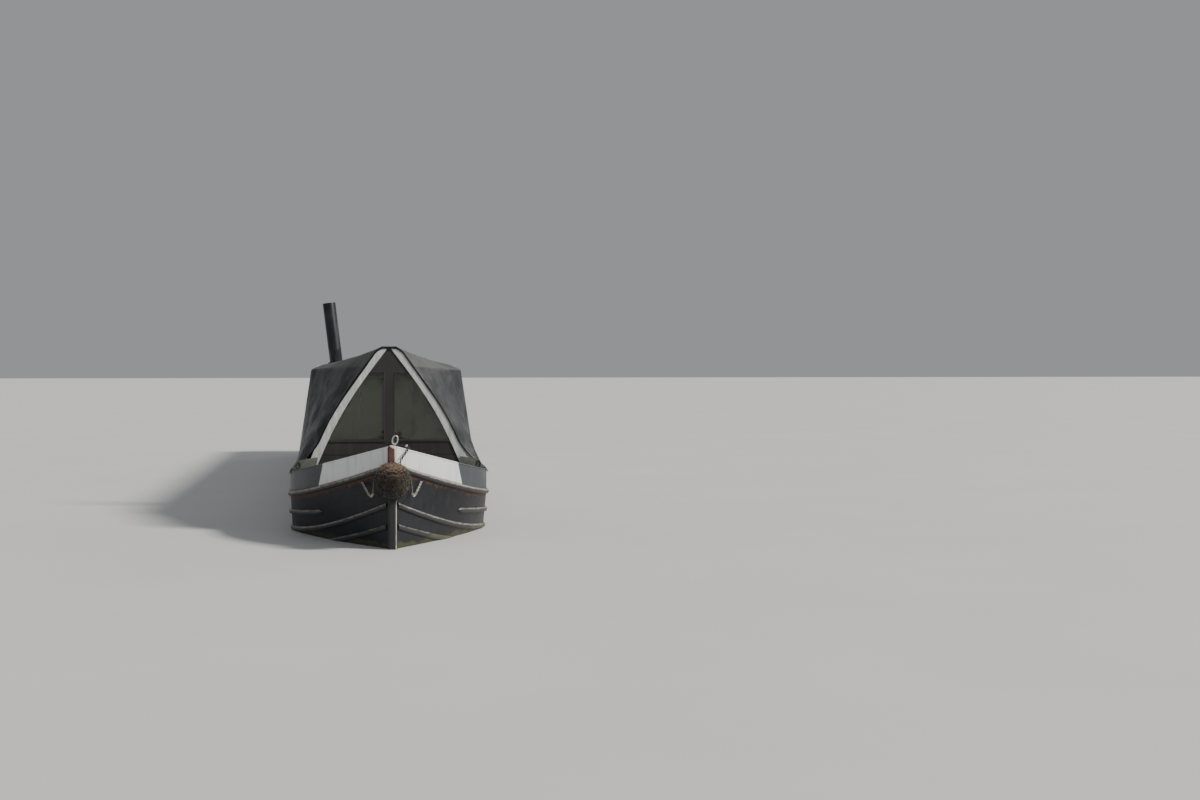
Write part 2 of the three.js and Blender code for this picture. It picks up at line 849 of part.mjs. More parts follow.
for (const row of windows) {
  const unit = onWall(windowUnit(row), row.x, row.z);
  const paint = row.radius === 200 ? "brass" : "glass";
  add(`${row.name}_port`, paint, unit);
  add(`${row.name}_starboard`, paint, mirrored(unit));
}

// Roof with its handrails, open under the sliding hatch
const hatchOpening = { length: 640, half: 300 };
const railY = 800;

function camberedSheet(x0, x1, half, lift, thick, across = 12) {
  const strip = (drop) =>
    [x0, x1].map((x) => {
      const row = [];
      for (let j = 0; j <= across; j++) {
        const y = -half + (2 * half * j) / across;
        row.push([x, y, roofTop(y) + lift - drop]);
      }
      return row;
    });
  return slab(strip(0), strip(thick));
}

// The port handrail, a bar on a row of feet
const handrail = (() => {
  const under = roofTop(railY);
  const feet = 8;
  const made = [
    block(cabinRear + 250, cabinFront - 150, railY - 15, railY + 15, under + 22, under + 46),
  ];
  for (let i = 0; i < feet; i++) {
    const x = cabinRear + 300 + ((cabinFront - cabinRear - 500) * i) / (feet - 1);
    made.push(block(x - 30, x + 30, railY - 10, railY + 10, under - 20, under + 26));
  }
  return joined(...made);
})();

const runnerLength = 1330;
const hatchRunners = [-1, 1].map((side) =>
  block(
    cabinRear + 4,
    cabinRear + runnerLength,
    side * 335 - 12,
    side * 335 + 12,
    roofTop(335) - 20,
    roofTop(335) + 14,
  ),
);

function roof() {
  const sheet = camberedSheet(cabinRear - 20, cabinFront + 20, roofHalf, 0, roofThick);
  const opening = block(
    cabinRear - 100,
    cabinRear + hatchOpening.length,
    -hatchOpening.half,
    hatchOpening.half,
    2100,
    2500,
  );
  return joined(sheet, handrail, mirrored(handrail), ...hatchRunners).subtract(opening);
}

add("roof", "roofGrey", roof());

add(
  "sliding_hatch",
  "cabinCream",
  joined(
    camberedSheet(cabinRear - 40, cabinRear + 680, 372, 46, 16, 8),
    block(cabinRear - 44, cabinRear - 26, -292, 292, roofTop(372) + 8, roofTop(0) + 40),
    ...[-1, 1].map((side) =>
      block(
        cabinRear - 40,
        cabinRear + 680,
        side > 0 ? 354 : -372,
        side > 0 ? 372 : -354,
        roofTop(372) + 8,
        roofTop(360) + 40,
      ),
    ),
    ...[-1, 1].map((side) =>
      block(
        cabinRear - 20,
        cabinRear + 660,
        side * 335 - 9,
        side * 335 + 9,
        roofTop(335) + 14 + fitGap,
        roofTop(335) + 40,
      ),
    ),
  ).intersect(camberedSheet(cabinRear - 60, cabinRear + 700, 380, 46, 140, 8)),
);

// An end wall between the cabin's sides, with a doorway
function cabinEnd(x0, x1, foot, doorway) {
  const across = 10;
  const crown = [];
  const crownHalf = cabinHalfTop - cabinWall - 1;
  for (let j = 0; j <= across; j++) {
    const y = crownHalf - (2 * crownHalf * j) / across;
    crown.push([y, roofUnder(y) - 1.5]);
  }
  const footHalf = wallHalf(foot) - cabinWall - 1;
  const seat = Math.min(footHalf, sideDeckInner - 1);
  const low = Math.max(foot, gunwaleHeight + 2);
  const outline = [[-seat, foot], [seat, foot], [seat, low], ...crown, [-seat, low]];
  const plate = acrossPlate(outline, x0, x1);
  const { half, bottom, top } = doorway;
  return plate.subtract(block(x0 - 50, x1 + 50, -half, half, bottom, top));
}

const frontDoorway = { half: 310, bottom: wellFloor + 60, top: 2200 };
const rearDoorway = { half: 300, bottom: gunwaleHeight + 50, top: 2500 };
const bulkheadThick = 40;
const rearDoorTop = 2262;

// Door hinges, on the outer face in the middle of the gap beside each door
const hingeOut = 3;
const frontHinge = hinge(
  "z",
  cabinFront + hingeOut,
  frontDoorway.half - doorGap / 2,
  [frontDoorway.bottom + 160, frontDoorway.top - 280],
);
const rearHinge = hinge(
  "z",
  cabinRear - hingeOut,
  rearDoorway.half - doorGap / 2,
  [rearDoorway.bottom + 140, rearDoorTop - 260],
);

function withHinges(onFixed, plate) {
  return mirrored(onFixed(mirrored(onFixed(plate))));
}

const frontLower = space.intersect(
  block(
    cabinFront - bulkheadThick,
    cabinFront - fitGap,
    -wide,
    wide,
    floorTop + fitGap,
    gunwaleHeight - sideDeckThick - 1,
  ),
);
const frontDoorHole = block(
  cabinFront - 100,
  cabinFront + 50,
  -frontDoorway.half,
  frontDoorway.half,
  frontDoorway.bottom,
  frontDoorway.top,
);
const frontUpper = cabinEnd(
  cabinFront - bulkheadThick,
  cabinFront - fitGap,
  gunwaleHeight - 80,
  frontDoorway,
);
add(
  "front_bulkhead",
  "cabinCream",
  withHinges(frontHinge.onFixed, joined(frontLower.subtract(frontDoorHole), frontUpper)),
);
add(
  "rear_bulkhead",
  "cabinCream",
  withHinges(
    rearHinge.onFixed,
    cabinEnd(cabinRear, cabinRear + bulkheadThick, gunwaleHeight + fitGap, rearDoorway),
  ),
);

// Doors are set in their doorways with a clear gap all round. Each leaf has two sunk panels on
// its outer face, given as shares of its height.
const doorThick = 30;
const panels = { half: 90, deep: 6, rows: [[0.08, 0.34], [0.4, 0.62]] };

function doorLeaf(x0, outerFace, doorway, top) {
  const bottom = doorway.bottom + doorGap;
  const side = doorway.half - doorGap;
  const middle = (doorGap / 2 + side) / 2;
  const leaf = block(x0, x0 + doorThick, doorGap / 2, side, bottom, top);
  return panels.rows.reduce((solid, shares) => {
    const [low, high] = shares.map((share) => bottom + (top - bottom) * share);
    return solid.subtract(
      block(
        outerFace - panels.deep,
        outerFace + panels.deep,
        middle - panels.half,
        middle + panels.half,
        low,
        high,
      ),
    );
  }, leaf);
}

const frontDoor = frontHinge.onMoving(
  doorLeaf(cabinFront - 34, cabinFront - 34 + doorThick, frontDoorway, frontDoorway.top - doorGap),
);
add("front_door_port", "doorGreen", frontDoor);
add("front_door_starboard", "doorGreen", mirrored(frontDoor));

const rearDoor = rearHinge.onMoving(
  doorLeaf(cabinRear + 4, cabinRear + 4, rearDoorway, rearDoorTop),
);
add("rear_door_port", "doorGreen", rearDoor);
add("rear_door_starboard", "doorGreen", mirrored(rearDoor));

// Gas locker lid, flush in the foredeck and hinged along its rear edge
add(
  "gas_locker_lid",
  "deckGrey",
  lidHinge.onMoving(
    slab(foredeckSheet(0), foredeckSheet(foredeckThick)).intersect(
      block(
        locker.x0 + doorGap,
        locker.x1 - doorGap,
        -locker.half + doorGap,
        locker.half - doorGap,
        900,
        1700,
      ),
    ),
  ),
);

// Chimney, square to the cambered roof
const chimney = { x: cabinFront - 900, y: -586, radius: 77, height: 780 };
const chimneyLean = (Math.atan((2 * roofCamber * chimney.y) / roofHalf ** 2) * 180) / Math.PI;

// The roof's sheet lifted by the fit, which shapes the feet of what stands on it
const roofSkin = camberedSheet(cabinRear, cabinFront, roofHalf, fitGap, roofThick);

function onRoof(solid, x, y, lean = 0) {
  return solid.rotate([-lean, 0, 0]).translate([x, y, roofTop(y)]);
}

add(
  "chimney_collar",
  "ironBlack",
  onRoof(
    turned([
      [0, -20],
      [135, -20],
      [135, 12],
      [102, 22],
      [98, 62],
      [86, 62],
      [86, 20],
      [0, 20],
    ]),
    chimney.x,
    chimney.y,
    chimneyLean,
  ).subtract(roofSkin),
);
add(
  "chimney",
  "ironBlack",
  onRoof(
    turned([
      [0, 20 + fitGap],
      [chimney.radius, 20 + fitGap],
      [chimney.radius, chimney.height],
      [chimney.radius - 5, chimney.height],
      [chimney.radius - 5, 30],
      [0, 30],
    ]),
    chimney.x,
    chimney.y,
    chimneyLean,
  ),
);

// Mushroom vents along the middle of the roof
const vents = [3300, 700, -2100, -4700];
vents.forEach((x, k) => {
  add(
    `roof_vent_${k + 1}`,
    "brass",
    onRoof(
      turned([
        [0, -12],
        [80, -12],
        [80, 8],
        [48, 10],
        [46, 48],
        [92, 50],
        [94, 58],
        [70, 78],
        [30, 88],
        [0, 90],
      ]),
      x,
      0,
    ).subtract(roofSkin),
  );
});

// Cratch: the triangular board, its windows, the plank above the well and the canvas cover
const board = { thick: 28, legHalf: 890, legZ: 1265, apexHalf: 145, apexZ: 2540 };
const legWidth = 84;
const pane = { inner: 46, sill: 1548, top: 2280, thick: 6 };

function boardHalf(z) {
  const share = (z - board.legZ) / (board.apexZ - board.legZ);
  return board.legHalf + (board.apexHalf - board.legHalf) * share;
}

function cratchBoard() {
  const x0 = cratchX - board.thick;
  const bottom = boardFoot;
  const outline = [
    [-boardHalf(bottom), bottom],
    [boardHalf(bottom), bottom],
    [board.apexHalf, board.apexZ],
    [-board.apexHalf, board.apexZ],
  ];
  const hole = acrossPlate(paneOutline(0), x0 - 10, cratchX + 10);
  return acrossPlate(outline, x0, cratchX).subtract(hole).subtract(mirrored(hole));
}

// The port pane's four corners, drawn in by a gap all round
function paneOutline(gap) {
  const { inner, sill, top } = pane;
  const legSide = (z) => boardHalf(z) - legWidth * 1.2 - 1.6 * gap;
  return [
    [inner + gap, sill + gap],
    [legSide(sill), sill + gap],
    [legSide(top), top - gap],
    [inner + gap, top - gap],
  ];
}

add("cratch_board", "frameGrey", cratchBoard().translate([-fitGap, 0, 0]));
const paneSolid = acrossPlate(paneOutline(0.5), cratchX - 18, cratchX - 18 + pane.thick);
add("cratch_pane_port", "glass", paneSolid);
add("cratch_pane_starboard", "glass", mirrored(paneSolid));
add(
  "top_plank",
  "timber",
  sidePlate(
    [
      [cratchX - board.thick - 2 * fitGap, board.apexZ - 8],
      [cratchX - board.thick - 2 * fitGap, board.apexZ - 44],
      [cabinFront + 20 + fitGap, roofTop(0) - 42],
      [cabinFront + 20 + fitGap, roofTop(0) - 6],
    ],
    -85,
    85,
  ),
);

// Half the cover's outline across the boat, hem to ridge. It lies over the cabin's end as far
// as coverStart and narrows from there to the board.
const coverStart = cabinFront + 26;
const coverLoftEnd = cratchX - 34;
const coverEnd = cratchX - 8;

const coverThick = 5;
const coverLift = 1.4; // room for the roof's own facets under the cover's

function coverSection(x, inset) {
  const share = Math.min(1, Math.max(0, (x - coverStart) / (coverLoftEnd - coverStart)));
  const flare = Math.min(1, (1 - share) / 0.2);
  const edge = lineHeight(gunwaleHeight, topRise, stemFace - topLevel.rake - x);
  const mix = (a, b) => a + (b - a) * share;
  const lean = Math.atan2(board.legHalf - board.apexHalf, board.apexZ - board.legZ);
  const out = coverThick + 0.5 - inset;
  const aside = (half) => half + out / Math.cos(lean);
  const hemHeight = edge + 8 + 30 * (1 - flare);
  const atBoard = aside(boardHalf(hemHeight));
  const atDeck = Math.min(sideHalfAt(x) - 20, 1020) + out;
  const hem = [atBoard + (atDeck - atBoard) * Math.sin((Math.PI / 2) * flare), hemHeight];
  const shoulder = [
    mix(roofHalf + out, aside(board.apexHalf)),
    mix(roofTop(roofHalf) + out + coverLift, board.apexZ + out),
  ];
  const ridge = mix(roofTop(0) + out + coverLift, board.apexZ + out);
  const points = [];
  for (let k = 0; k < 5; k++) {
    const t = k / 5;
    points.push([hem[0] + (shoulder[0] - hem[0]) * t, hem[1] + (shoulder[1] - hem[1]) * t]);
  }
  for (let k = 0; k <= 4; k++) {
    const t = k / 4;
    points.push([shoulder[0] * (1 - t), shoulder[1] + (ridge - shoulder[1]) * (1 - (1 - t) ** 2)]);
  }
  return points.map(([y, z]) => [x, y, z]);
}

function canvasCover() {
  const rows = (inset) => {
    const all = [];
    const stations = [cabinFront - 60];
    for (let i = 0; i <= 8; i++) {
      stations.push(coverStart + ((coverLoftEnd - coverStart) * i) / 8);
    }
    stations.push(coverEnd);
    for (const x of stations) {
      const half = coverSection(x, inset);
      const other = half
        .slice(0, -1)
        .reverse()
        .map(([x, y, z]) => [x, -y, z]);
      all.push([...half, ...other]);
    }
    return all;
  };
  return slab(rows(0), rows(coverThick));
}

add("cratch_cover", "canvasBlack", canvasCover());

// Steering gear
add(
  "rudder",
  "hullBlack",
  joined(
    block(rudderX - 280, rudderX + 200, -9, 9, 75, 535),
    bar("z", stockRadius, skegTop - 8 + fitGap, gunwaleHeight + 90, rudderX, 0),
  ),
);

const neckTop = 2500;
add(
  "swan_neck",
  "steel",
  joined(
    bar("z", 40, gunwaleHeight + 90 + fitGap, gunwaleHeight + 190, rudderX, 0),
    pipe(
      [
        [rudderX, 0, gunwaleHeight + 150],
        [rudderX - 20, 0, gunwaleHeight + 500],
        [rudderX + 10, 0, gunwaleHeight + 900],
        [rudderX + 90, 0, neckTop - 90],
        [rudderX + 190, 0, neckTop],
      ],
      24,
      20,
    ),
    bar("x", 28, rudderX + 175, rudderX + 231, 0, neckTop + 1),
  ),
);
add(
  "tiller_arm",
  "brass",
  joined(
    bar("x", 19, rudderX + 231 + fitGap, rudderX + 1010, 0, neckTop + 1),
    bar("x", 24, rudderX + 990, rudderX + 1260, 0, neckTop + 1),
  ),
);

// Propeller and shaft
function propeller() {
  const x = swimEnd - postDepth - 150;
  const hub = bar("x", 46, x - 70, x + 60, 0, 0);
  const tail = bar("x", 24, x - 110, x - 60, 0, 0);
  const shaft = bar("x", shaftRadius, x, engineOpening.x0 + 60, 0, 0);
  const blades = [0, 1, 2].map((k) => {
    const rings = [];
    for (let i = 0; i <= 6; i++) {
      const t = i / 6;
      const r = 30 + 185 * t;
      const chord = 46 + 150 * Math.sin(Math.PI * Math.min(0.92, 0.18 + 0.74 * t)) - 60 * t;
      const pitch = 1.05 - 0.62 * t;
      const half = 7 - 4.5 * t;
      const corner = (c, h) => [
        x + c * Math.sin(pitch) + h * Math.cos(pitch),
        c * Math.cos(pitch) - h * Math.sin(pitch),
        r,
      ];
      rings.push([corner(-chord / 2, 0), corner(0, -half), corner(chord / 2, 0), corner(0, half)]);
    }
    return sweep(rings).rotate([120 * k, 0, 0]);
  });
  return joined(hub, tail, shaft, ...blades).translate([0, 0, shaftHeight]);
}

add("propeller", "brass", propeller());

// Rope fenders
function fender(width, height, depth) {
  const round = new THREE.SphereGeometry(1, 18, 12);
  round.applyMatrix4(new THREE.Matrix4().makeScale(depth, width / 2, height / 2));
  return solidOf(round);
}

const bowFender = fender(380, 364, fenderReach)
  .translate([stemFace, 0, 1246])
  .intersect(block(stemFace + fitGap, stemFace + 400, -400, 400, 900, 1600));
add("bow_fender", "rope", bowFender);

// Chains that hold the bow fender: a slack one from each side of it to the hull, and one from
// its top over the bulwark to the mooring stud
const chainRadius = 6;

function hullAt(y, z) {
  for (let k = 0; k <= 400; k++) {
    const p = skinPoint(k / 400, z);
    if (p.y >= y) return p;
  }
  return skinPoint(1, z);
}

function fenderChain(points) {
  const stay = fender(380 + 2 * fitGap, 364 + 2 * fitGap, fenderReach + fitGap).translate([
    stemFace,
    0,
    1246,
  ]);
  const post = bar("z", stud.radius + fitGap, 1400, 1800, stud.x, 0, 16);
  const side = hullSidePort.translate([0.22, 0.22, 0]);
  return pipe(points, chainRadius, 18, 8).subtract(stay).subtract(post).subtract(side);
}

const chainFoot = hullAt(280, 1210);
const slackChain = fenderChain([
  [stemFace + 62, 172, 1256],
  [stemFace + 20, 206, 1170],
  [stemFace - 110, 226, 1106],
  [stemFace - 240, 262, 1140],
  [chainFoot.x - 3, chainFoot.y - 3, 1210],
]);
const bulwark = hullAt(150, 1530);
const topChain = fenderChain([
  [stemFace + 46, 74, 1392],
  [stemFace - 30, 104, 1452],
  [bulwark.x + 12, bulwark.y + 6, 1546],
  [bulwark.x - 50, bulwark.y - 40, 1560],
  [stud.x + 12, 4, foredeckHeight(stud.x, 0) + 60],
]);
add("fender_chain_port", "steel", slackChain);
add("fender_chain_starboard", "steel", mirrored(slackChain));
add("fender_stay_port", "steel", topChain);

const sternFender = fender(620, 260, fenderReach + 200)
  .translate([counterEnd + 200, 0, 1010])
  .subtract(planPlate(counterOutline(26 + fitGap), 500, 1500));
add("stern_fender", "rope", sternFender);

export default boat;
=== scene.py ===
# A steel narrowboat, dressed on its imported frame. Metres, +X to the bow, +Y to port, +Z up.
# The waterline is 0.57 above the baseplate, and the floor lies there.
import json
import math

import bmesh
import bpy
import numpy as np
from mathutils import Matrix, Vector


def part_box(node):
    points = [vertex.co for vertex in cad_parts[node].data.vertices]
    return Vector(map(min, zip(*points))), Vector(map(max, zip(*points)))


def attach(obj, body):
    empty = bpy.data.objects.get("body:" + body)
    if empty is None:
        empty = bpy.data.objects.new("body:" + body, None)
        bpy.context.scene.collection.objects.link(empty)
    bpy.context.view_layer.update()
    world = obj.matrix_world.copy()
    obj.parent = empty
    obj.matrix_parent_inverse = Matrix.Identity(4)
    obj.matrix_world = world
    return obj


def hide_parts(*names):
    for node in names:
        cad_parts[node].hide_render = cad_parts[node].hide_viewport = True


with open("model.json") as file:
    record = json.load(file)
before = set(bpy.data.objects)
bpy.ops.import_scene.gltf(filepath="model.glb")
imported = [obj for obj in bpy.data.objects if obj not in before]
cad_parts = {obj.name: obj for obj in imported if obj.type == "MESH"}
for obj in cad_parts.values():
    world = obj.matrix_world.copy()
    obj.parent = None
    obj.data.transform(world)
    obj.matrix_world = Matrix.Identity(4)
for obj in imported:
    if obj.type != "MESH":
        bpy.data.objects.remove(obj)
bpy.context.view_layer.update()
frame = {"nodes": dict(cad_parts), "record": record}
bodyOf = {node: body for body, nodes in frame["record"]["behaviour"]["bodies"].items() for node in nodes}
waterline = 0.57


# The camera stands where the photographer did: ahead of the bow, a little to starboard.
view = {
    "ahead": 15.5,  # from the stem's face
    "aside": -0.30,
    "above": 1.81,  # over the water
    "lens": 48.0,
    "yaw": 8.51,  # degrees to port of straight aft
    "pitch": -1.36,
}


def addObject(name, data):
    made = bpy.data.objects.new(name, data)
    bpy.context.scene.collection.objects.link(made)
    return made


def makeCamera():
    data = bpy.data.cameras.new("photoCamera")
    data.lens = view["lens"]
    data.sensor_width = 36.0
    data.clip_end = 400.0
    camera = addObject("photoCamera", data)
    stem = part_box("stem_post")[1].x
    camera.location = (stem + view["ahead"], view["aside"], waterline + view["above"])
    camera.rotation_euler = (math.radians(90 + view["pitch"]), 0.0, math.radians(90 - view["yaw"]))
    bpy.context.scene.camera = camera


makeCamera()
print("camera placed")


# Arrays into meshes

def signedVolume(verts, faces):
    total = 0.0
    for corners in faces:  # one block of equal-sided faces at a time
        a = verts[corners[:, 0]]
        for k in range(1, corners.shape[1] - 1):
            b = verts[corners[:, k]]
            c = verts[corners[:, k + 1]]
            total += np.einsum("ij,ij->i", a, np.cross(b, c)).sum()
    return total


def solid(verts, *faces):
    # A closed part: its points and blocks of faces, turned so that they face outwards.
    blocks = [np.asarray(block, dtype=int) for block in faces]
    if signedVolume(verts, blocks) < 0:
        blocks = [block[:, ::-1] for block in blocks]
    return verts, blocks


def merged(parts):
    points = []
    blocks = []
    base = 0
    for verts, faces in parts:
        points.append(verts)
        blocks += [block + base for block in faces]
        base += len(verts)
    return np.vstack(points), blocks


def piece(name, part, material, body="boat", replaces=(), smooth=35, uv=None, tags=None):
    verts, blocks = part
    mesh = bpy.data.meshes.new(name)
    mesh.from_pydata(verts.tolist(), [], [f for block in blocks for f in block.tolist()])
    mesh.update()
    if uv is not None:
        layer = mesh.uv_layers.new(name="along")
        index = np.empty(len(mesh.loops), dtype=int)
        mesh.loops.foreach_get("vertex_index", index)
        layer.data.foreach_set("uv", uv[index].ravel())
    for key, values in (tags or {}).items():
        attribute = mesh.attributes.new(key, "FLOAT", "POINT")
        attribute.data.foreach_set("value", np.asarray(values, dtype=float))
    return dressed(name, mesh, material, body, replaces, smooth)


def dressed(name, mesh, material, body, replaces, smooth):
    shadeByAngle(mesh, smooth)
    made = addObject(name, mesh)
    made.data.materials.append(material)
    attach(made, body)
    if replaces:
        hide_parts(*replaces)
    return made


def shadeByAngle(mesh, degrees):
    work = bmesh.new()
    work.from_mesh(mesh)
    for face in work.faces:
        face.smooth = True
    limit = math.radians(degrees)
    for edge in work.edges:
        edge.smooth = len(edge.link_faces) == 2 and edge.calc_face_angle(0.0) < limit
    work.to_mesh(mesh)
    work.free()


def easeEdges(made, width, degrees=40, segments=2):
    bevel = made.modifiers.new("edges", "BEVEL")
    bevel.width = width
    bevel.segments = segments
    bevel.limit_method = "ANGLE"
    bevel.angle_limit = math.radians(degrees)
    bevel.harden_normals = True


cornerAngle = 28  # degrees past which a solid's edge counts as a corner


def softened(node, material, width, segments=2):
    # A CAD node's own shape with its flat faces made whole and its edges rounded.
    work = bmesh.new()
    work.from_mesh(frame["nodes"][node].data)
    bmesh.ops.remove_doubles(work, verts=work.verts, dist=2e-5)
    bmesh.ops.dissolve_degenerate(work, edges=work.edges, dist=1e-5)
    bmesh.ops.dissolve_limit(work, angle_limit=math.radians(0.6), verts=work.verts, edges=work.edges)
    name = node + "_finish"
    mesh = bpy.data.meshes.new(name)
    work.to_mesh(mesh)
    work.free()
    made = dressed(name, mesh, material, bodyOf[node], (node,), cornerAngle)
    easeEdges(made, width, cornerAngle, segments)


def gridFaces(rows, columns, wrap=False, closed=False):
    # Quads of a grid of points, row by row. Wrap joins the last column to the first, and closed
    # the last row to the first.
    across = np.arange(columns if wrap else columns - 1)
    i, j = np.meshgrid(np.arange(rows if closed else rows - 1), across, indexing="ij")
    n, k = (i + 1) % rows, (j + 1) % columns
    quads = np.stack([i * columns + j, n * columns + j, n * columns + k, i * columns + k], -1)
    return quads.reshape(-1, 4)


def slab(outer, inner):
    # The solid between two grids of the same size, closed round the rim.
    rows, columns = outer.shape[:2]
    count = rows * columns
    faces = gridFaces(rows, columns)
    number = np.arange(count).reshape(rows, columns)
    rim = np.concatenate([number[0, :], number[1:, -1], number[-1, -2::-1], number[-2:0:-1, 0]])
    following = np.roll(rim, -1)
    sides = np.stack([following, rim, rim + count, following + count], -1)
    verts = np.vstack([outer.reshape(-1, 3), inner.reshape(-1, 3)])
    return solid(verts, np.vstack([faces, faces[:, ::-1] + count, sides]))


def tube(rings, ends=None):
    # Closed rings of points joined along a path, with a fan to one point at each end: the
    # ring's middle, or the points given.
    rows, columns = rings.shape[:2]
    ends = [rings[0].mean(0), rings[-1].mean(0)] if ends is None else ends
    j = np.arange(columns)
    k = (j + 1) % columns
    first = np.stack([j, k, np.full(columns, rows * columns)], -1)
    last = (rows - 1) * columns
    final = np.stack([last + k, last + j, np.full(columns, rows * columns + 1)], -1)
    verts = np.vstack([rings.reshape(-1, 3), ends])
    return solid(verts, gridFaces(rows, columns, wrap=True), np.vstack([first, final]))


def cappedTube(rings):
    # Rings joined along a path and closed by one flat face at each end.
    rows, columns = rings.shape[:2]
    number = np.arange(columns)
    return solid(
        rings.reshape(-1, 3), gridFaces(rows, columns, wrap=True),
        number[None, :], (number + (rows - 1) * columns)[None, ::-1],
    )


def loopedTube(rings):
    # Rings joined along a path that comes back to its start.
    return solid(rings.reshape(-1, 3), gridFaces(*rings.shape[:2], wrap=True, closed=True))


def unit(vectors):
    return vectors / np.maximum(np.linalg.norm(vectors, axis=-1, keepdims=True), 1e-9)


def lengthAlong(path):
    # The distance run along a path at each of its points.
    return np.concatenate([[0], np.cumsum(np.linalg.norm(np.diff(path, axis=0), axis=1))])


def aroundCircle(count):
    return np.linspace(0, 2 * np.pi, count, endpoint=False)


def carried(path, profile, up=(0.0, 0.0, 1.0), turn=None):
    # A profile of (aside, upward) points carried along a path: P + a * side + b * rise.
    along = unit(np.gradient(path, axis=0))
    side = unit(np.cross(along, np.asarray(up)))
    rise = np.cross(side, along)
    a, b = profile[:, 0], profile[:, 1]
    if turn is not None:
        c, s = np.cos(turn)[:, None], np.sin(turn)[:, None]
        a, b = a * c - b * s, a * s + b * c
    return path[:, None, :] + a[..., None] * side[:, None, :] + b[..., None] * rise[:, None, :]


def curveThrough(points, count):
    # A smooth curve through points: each stretch a cubic with the slopes of its neighbours.
    points = np.asarray(points, dtype=float)
    ends = np.vstack([2 * points[0] - points[1], points, 2 * points[-1] - points[-2]])
    out = []
    for k in range(len(points) - 1):
        a, b, c, d = ends[k : k + 4]
        t = np.linspace(0, 1, count, endpoint=k == len(points) - 2)[:, None]
        square = (2 * a - 5 * b + 4 * c - d) * t ** 2
        out.append(0.5 * (2 * b + (c - a) * t + square + (3 * b - a - 3 * c + d) * t ** 3))
    return np.vstack(out)


def closedTube(loop, radius, normal, sides=7):
    # A round wire carried round a flat closed loop.
    along = unit(np.roll(loop, -1, 0) - np.roll(loop, 1, 0))
    out = np.cross(along, normal)
    t = aroundCircle(sides)[None, :, None]
    return loopedTube(loop[:, None, :] + radius * (np.cos(t) * out[:, None, :] + np.sin(t) * normal))


def circle(radius, sides):
    t = aroundCircle(sides)
    return np.stack([radius * np.cos(t), radius * np.sin(t)], -1)


def turned(profile, sides=48):
    # (radius, height) points turned about Z; the ends lie on the axis.
    profile = np.asarray(profile, dtype=float)
    t = aroundCircle(sides)
    r = profile[1:-1, 0][:, None]
    z = np.broadcast_to(profile[1:-1, 1][:, None], (len(r), sides))
    rings = np.stack([r * np.cos(t), r * np.sin(t), z], -1)
    return tube(rings, [[0, 0, profile[0, 1]], [0, 0, profile[-1, 1]]])


def easedCorner(before, corner, after, radius):
    # A corner made a small arc: (1 - t) ^ 2 * start + 2 * t * (1 - t) * corner + t ^ 2 * end.
    a, b = before - corner, after - corner
    reach = min(radius, 0.45 * np.linalg.norm(a), 0.45 * np.linalg.norm(b))
    start = corner + a / np.linalg.norm(a) * reach
    end = corner + b / np.linalg.norm(b) * reach
    t = np.linspace(0, 1, 4)[:, None]
    return (1 - t) ** 2 * start + 2 * t * (1 - t) * corner + t ** 2 * end


def roundedProfile(points, radius):
    # An open outline with its inner corners eased.
    points = np.asarray(points, dtype=float)
    corners = [easedCorner(*points[k : k + 3], radius) for k in range(len(points) - 2)]
    return np.vstack([points[:1], *corners, points[-1:]])


def roundedLoop(points, radius):
    # A closed outline with its corners eased.
    points = np.asarray(points, dtype=float)
    turns = zip(np.roll(points, 1, 0), points, np.roll(points, -1, 0))
    return np.vstack([easedCorner(a, b, c, radius) for a, b, c in turns])


def roundedBox(low, high, radius):
    # A rectangle between two corners, eased.
    (x0, y0), (x1, y1) = low, high
    return roundedLoop([(x0, y0), (x1, y0), (x1, y1), (x0, y1)], radius)


def prism(outline, axis, low, high):
    # A flat outline given a thickness along "x", "y" or "z", as one solid.
    outline = np.asarray(outline, dtype=float)
    count = len(outline)
    order = {"x": (2, 0, 1), "y": (0, 2, 1), "z": (0, 1, 2)}[axis]
    verts = np.vstack([
        np.column_stack([outline, np.full(count, level)])[:, order] for level in (low, high)
    ])
    j = np.arange(count)
    k = (j + 1) % count
    sides = np.stack([j, k, k + count, j + count], -1)
    return solid(verts, sides, np.stack([j[::-1], j + count]))


def moved(part, shift=(0, 0, 0), tilt=None):
    # A part turned about the "x" or "y" axis by an angle, then shifted.
    verts, faces = part
    if tilt:
        axis, angle = tilt
        i, j = {"x": (1, 2), "y": (2, 0)}[axis]
        c, s = math.cos(angle), math.sin(angle)
        verts = verts.copy()
        verts[:, i], verts[:, j] = c * verts[:, i] - s * verts[:, j], s * verts[:, i] + c * verts[:, j]
    return verts + np.asarray(shift, dtype=float), faces


def mirroredPart(part):
    verts, faces = part
    return verts * np.array([1, -1, 1]), [block[:, ::-1] for block in faces]


def sided(part, side):
    # A port part, or its mirror image to starboard.
    return part if side == "port" else mirroredPart(part)


bothSides = (("port", 1), ("starboard", -1))


def ripple(points, scale, seed):
    # A smooth value from -1 to 1 at each point: five crossing sets of waves.
    rng = np.random.default_rng(seed)
    total = np.zeros(points.shape[:-1])
    for k in range(5):
        direction = rng.normal(size=3)
        direction /= np.linalg.norm(direction)
        phase = rng.uniform(0, 2 * np.pi)
        total += np.sin(points @ direction * scale * (1 + 0.45 * k) + phase) / (1 + 0.6 * k)
    return total / 2.4


# Shader helpers. A value is a number, a colour of three numbers or a socket, and a new node
# goes into its sockets' own tree.

def put(value, socket):
    value.id_data.links.new(value, socket)


def newNode(tree, kind, values=None, **settings):
    made = tree.nodes.new(kind)
    for key, value in settings.items():
        setattr(made, key, value)
    for key, value in (values or {}).items():
        socket = made.inputs[key]
        if isinstance(value, bpy.types.NodeSocket):
            put(value, socket)
        else:
            socket.default_value = (*value, 1) if socket.type == "RGBA" else value
    return made


